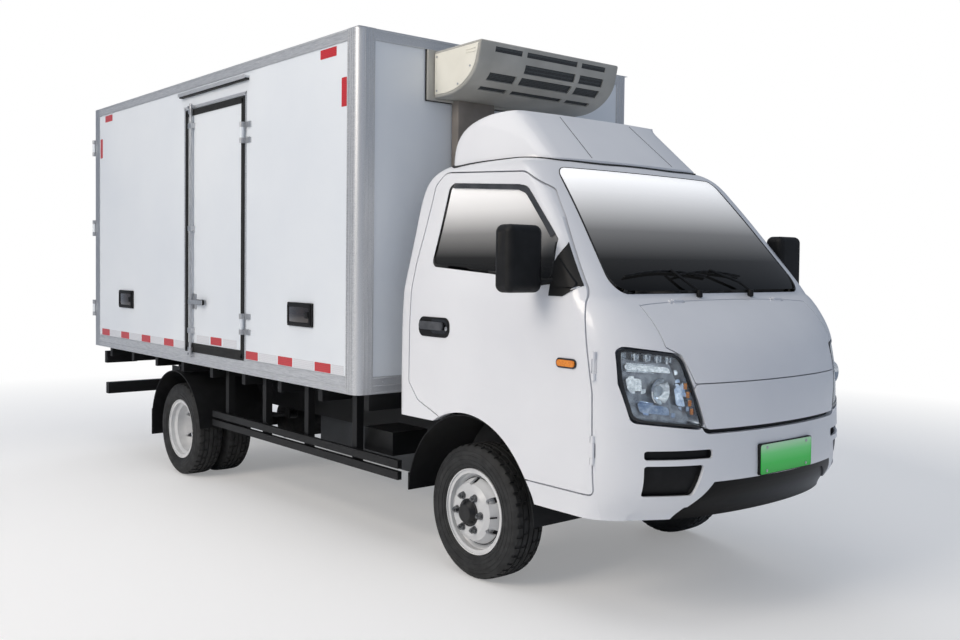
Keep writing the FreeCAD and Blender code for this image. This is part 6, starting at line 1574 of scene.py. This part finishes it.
screen = soft_box((dash_x - 0.006, -0.095, 1.115), (dash_x - 0.0035, 0.095, 1.190))
settle(screen, "dashboard_screen", surround_black)
print("cab interior made")

# %% [markdown]
# ## Floor and light
# The truck stands on a plain pale floor that runs up into a white background, under broad soft lamps.

# %% Floor, backdrop, sky and lamps
floor_size = 60
bpy.ops.mesh.primitive_plane_add(size=1, location=(0, 0, 0))
floor = bpy.context.object
floor.name = "studio_floor"
bpy.ops.transform.resize(value=(floor_size, floor_size, 1), center_override=(0, 0, 0))
bpy.ops.object.transform_apply(location=True, rotation=True, scale=True)
floor_material, floor_tree, floor_shader = finish("pale_studio_floor", "FFFFFF", 0.9)
floor_glow = add(floor_tree, "ShaderNodeEmission", {"Color": paint("FFFFFF"), "Strength": 1.0})
floor_rays = add(floor_tree, "ShaderNodeLightPath")
floor_far = add(floor_tree, "ShaderNodeVectorMath", {"operation": "LENGTH"}, {"0": place_in(floor_tree)})
floor_fade = add(floor_tree, "ShaderNodeMapRange",
                 {"From Min": 4.0, "From Max": 8.0, "To Min": 0.25, "To Max": 1.0},
                 {"Value": floor_far.outputs["Value"]})
floor_share = add(floor_tree, "ShaderNodeMath", {"operation": "MULTIPLY"},
                  {"0": floor_rays.outputs["Is Camera Ray"], "1": floor_fade.outputs["Result"]})
floor_mix = add(floor_tree, "ShaderNodeMixShader", None,
                {"0": floor_share.outputs[0], "1": floor_shader.outputs[0], "2": floor_glow.outputs[0]})
floor_out = next(node for node in floor_tree.nodes if node.type == "OUTPUT_MATERIAL")
floor_tree.links.new(floor_mix.outputs[0], floor_out.inputs["Surface"])
floor.data.materials.append(floor_material)
world = bpy.data.worlds.new("studio")
bpy.context.scene.world = world
world.use_nodes = True
sky_tree = world.node_tree
sky_tree.nodes.clear()
soft_sky = add(sky_tree, "ShaderNodeBackground", {"Color": paint("CFDAEC"), "Strength": 0.45})
white_wall = add(sky_tree, "ShaderNodeBackground", {"Color": paint("FFFFFF"), "Strength": 1.0})
rays = add(sky_tree, "ShaderNodeLightPath")
seen = add(sky_tree, "ShaderNodeMath", {"operation": "MAXIMUM"},
           {"0": rays.outputs["Is Camera Ray"], "1": rays.outputs["Is Transmission Ray"]})
mixed = add(sky_tree, "ShaderNodeMixShader", None,
            {"0": seen.outputs[0], "1": soft_sky.outputs[0], "2": white_wall.outputs[0]})
add(sky_tree, "ShaderNodeOutputWorld", None, {"Surface": mixed.outputs[0]})
bpy.context.scene.view_settings.view_transform = "Standard"


def soft_lamp(name, place, aim, size, power, tint):
    """A broad square lamp that looks at a point."""
    data = bpy.data.lights.new(name, "AREA")
    data.size, data.energy, data.color = size, power, paint(tint)[:3]
    lamp = bpy.data.objects.new(name, data)
    bpy.context.collection.objects.link(lamp)
    lamp.location = place
    lamp.rotation_euler = (Vector(aim) - Vector(place)).to_track_quat("-Z", "Y").to_euler()


soft_lamp("key_lamp", (1, -10, 6.5), (-0.3, 0, 1.2), 5.0, 560, "FFF4E6")
soft_lamp("front_lamp", (10, -1, 5), (1.5, 0, 1.2), 5.0, 15, "E4ECFF")
soft_lamp("back_lamp", (-8, 7, 6), (-1, 0, 1.5), 5.0, 230, "FFFFFF")
soft_lamp("top_lamp", (1, -3, 9), (0.5, 0, 0), 6.0, 180, "FFFAF2")
print("stage and lamps made")
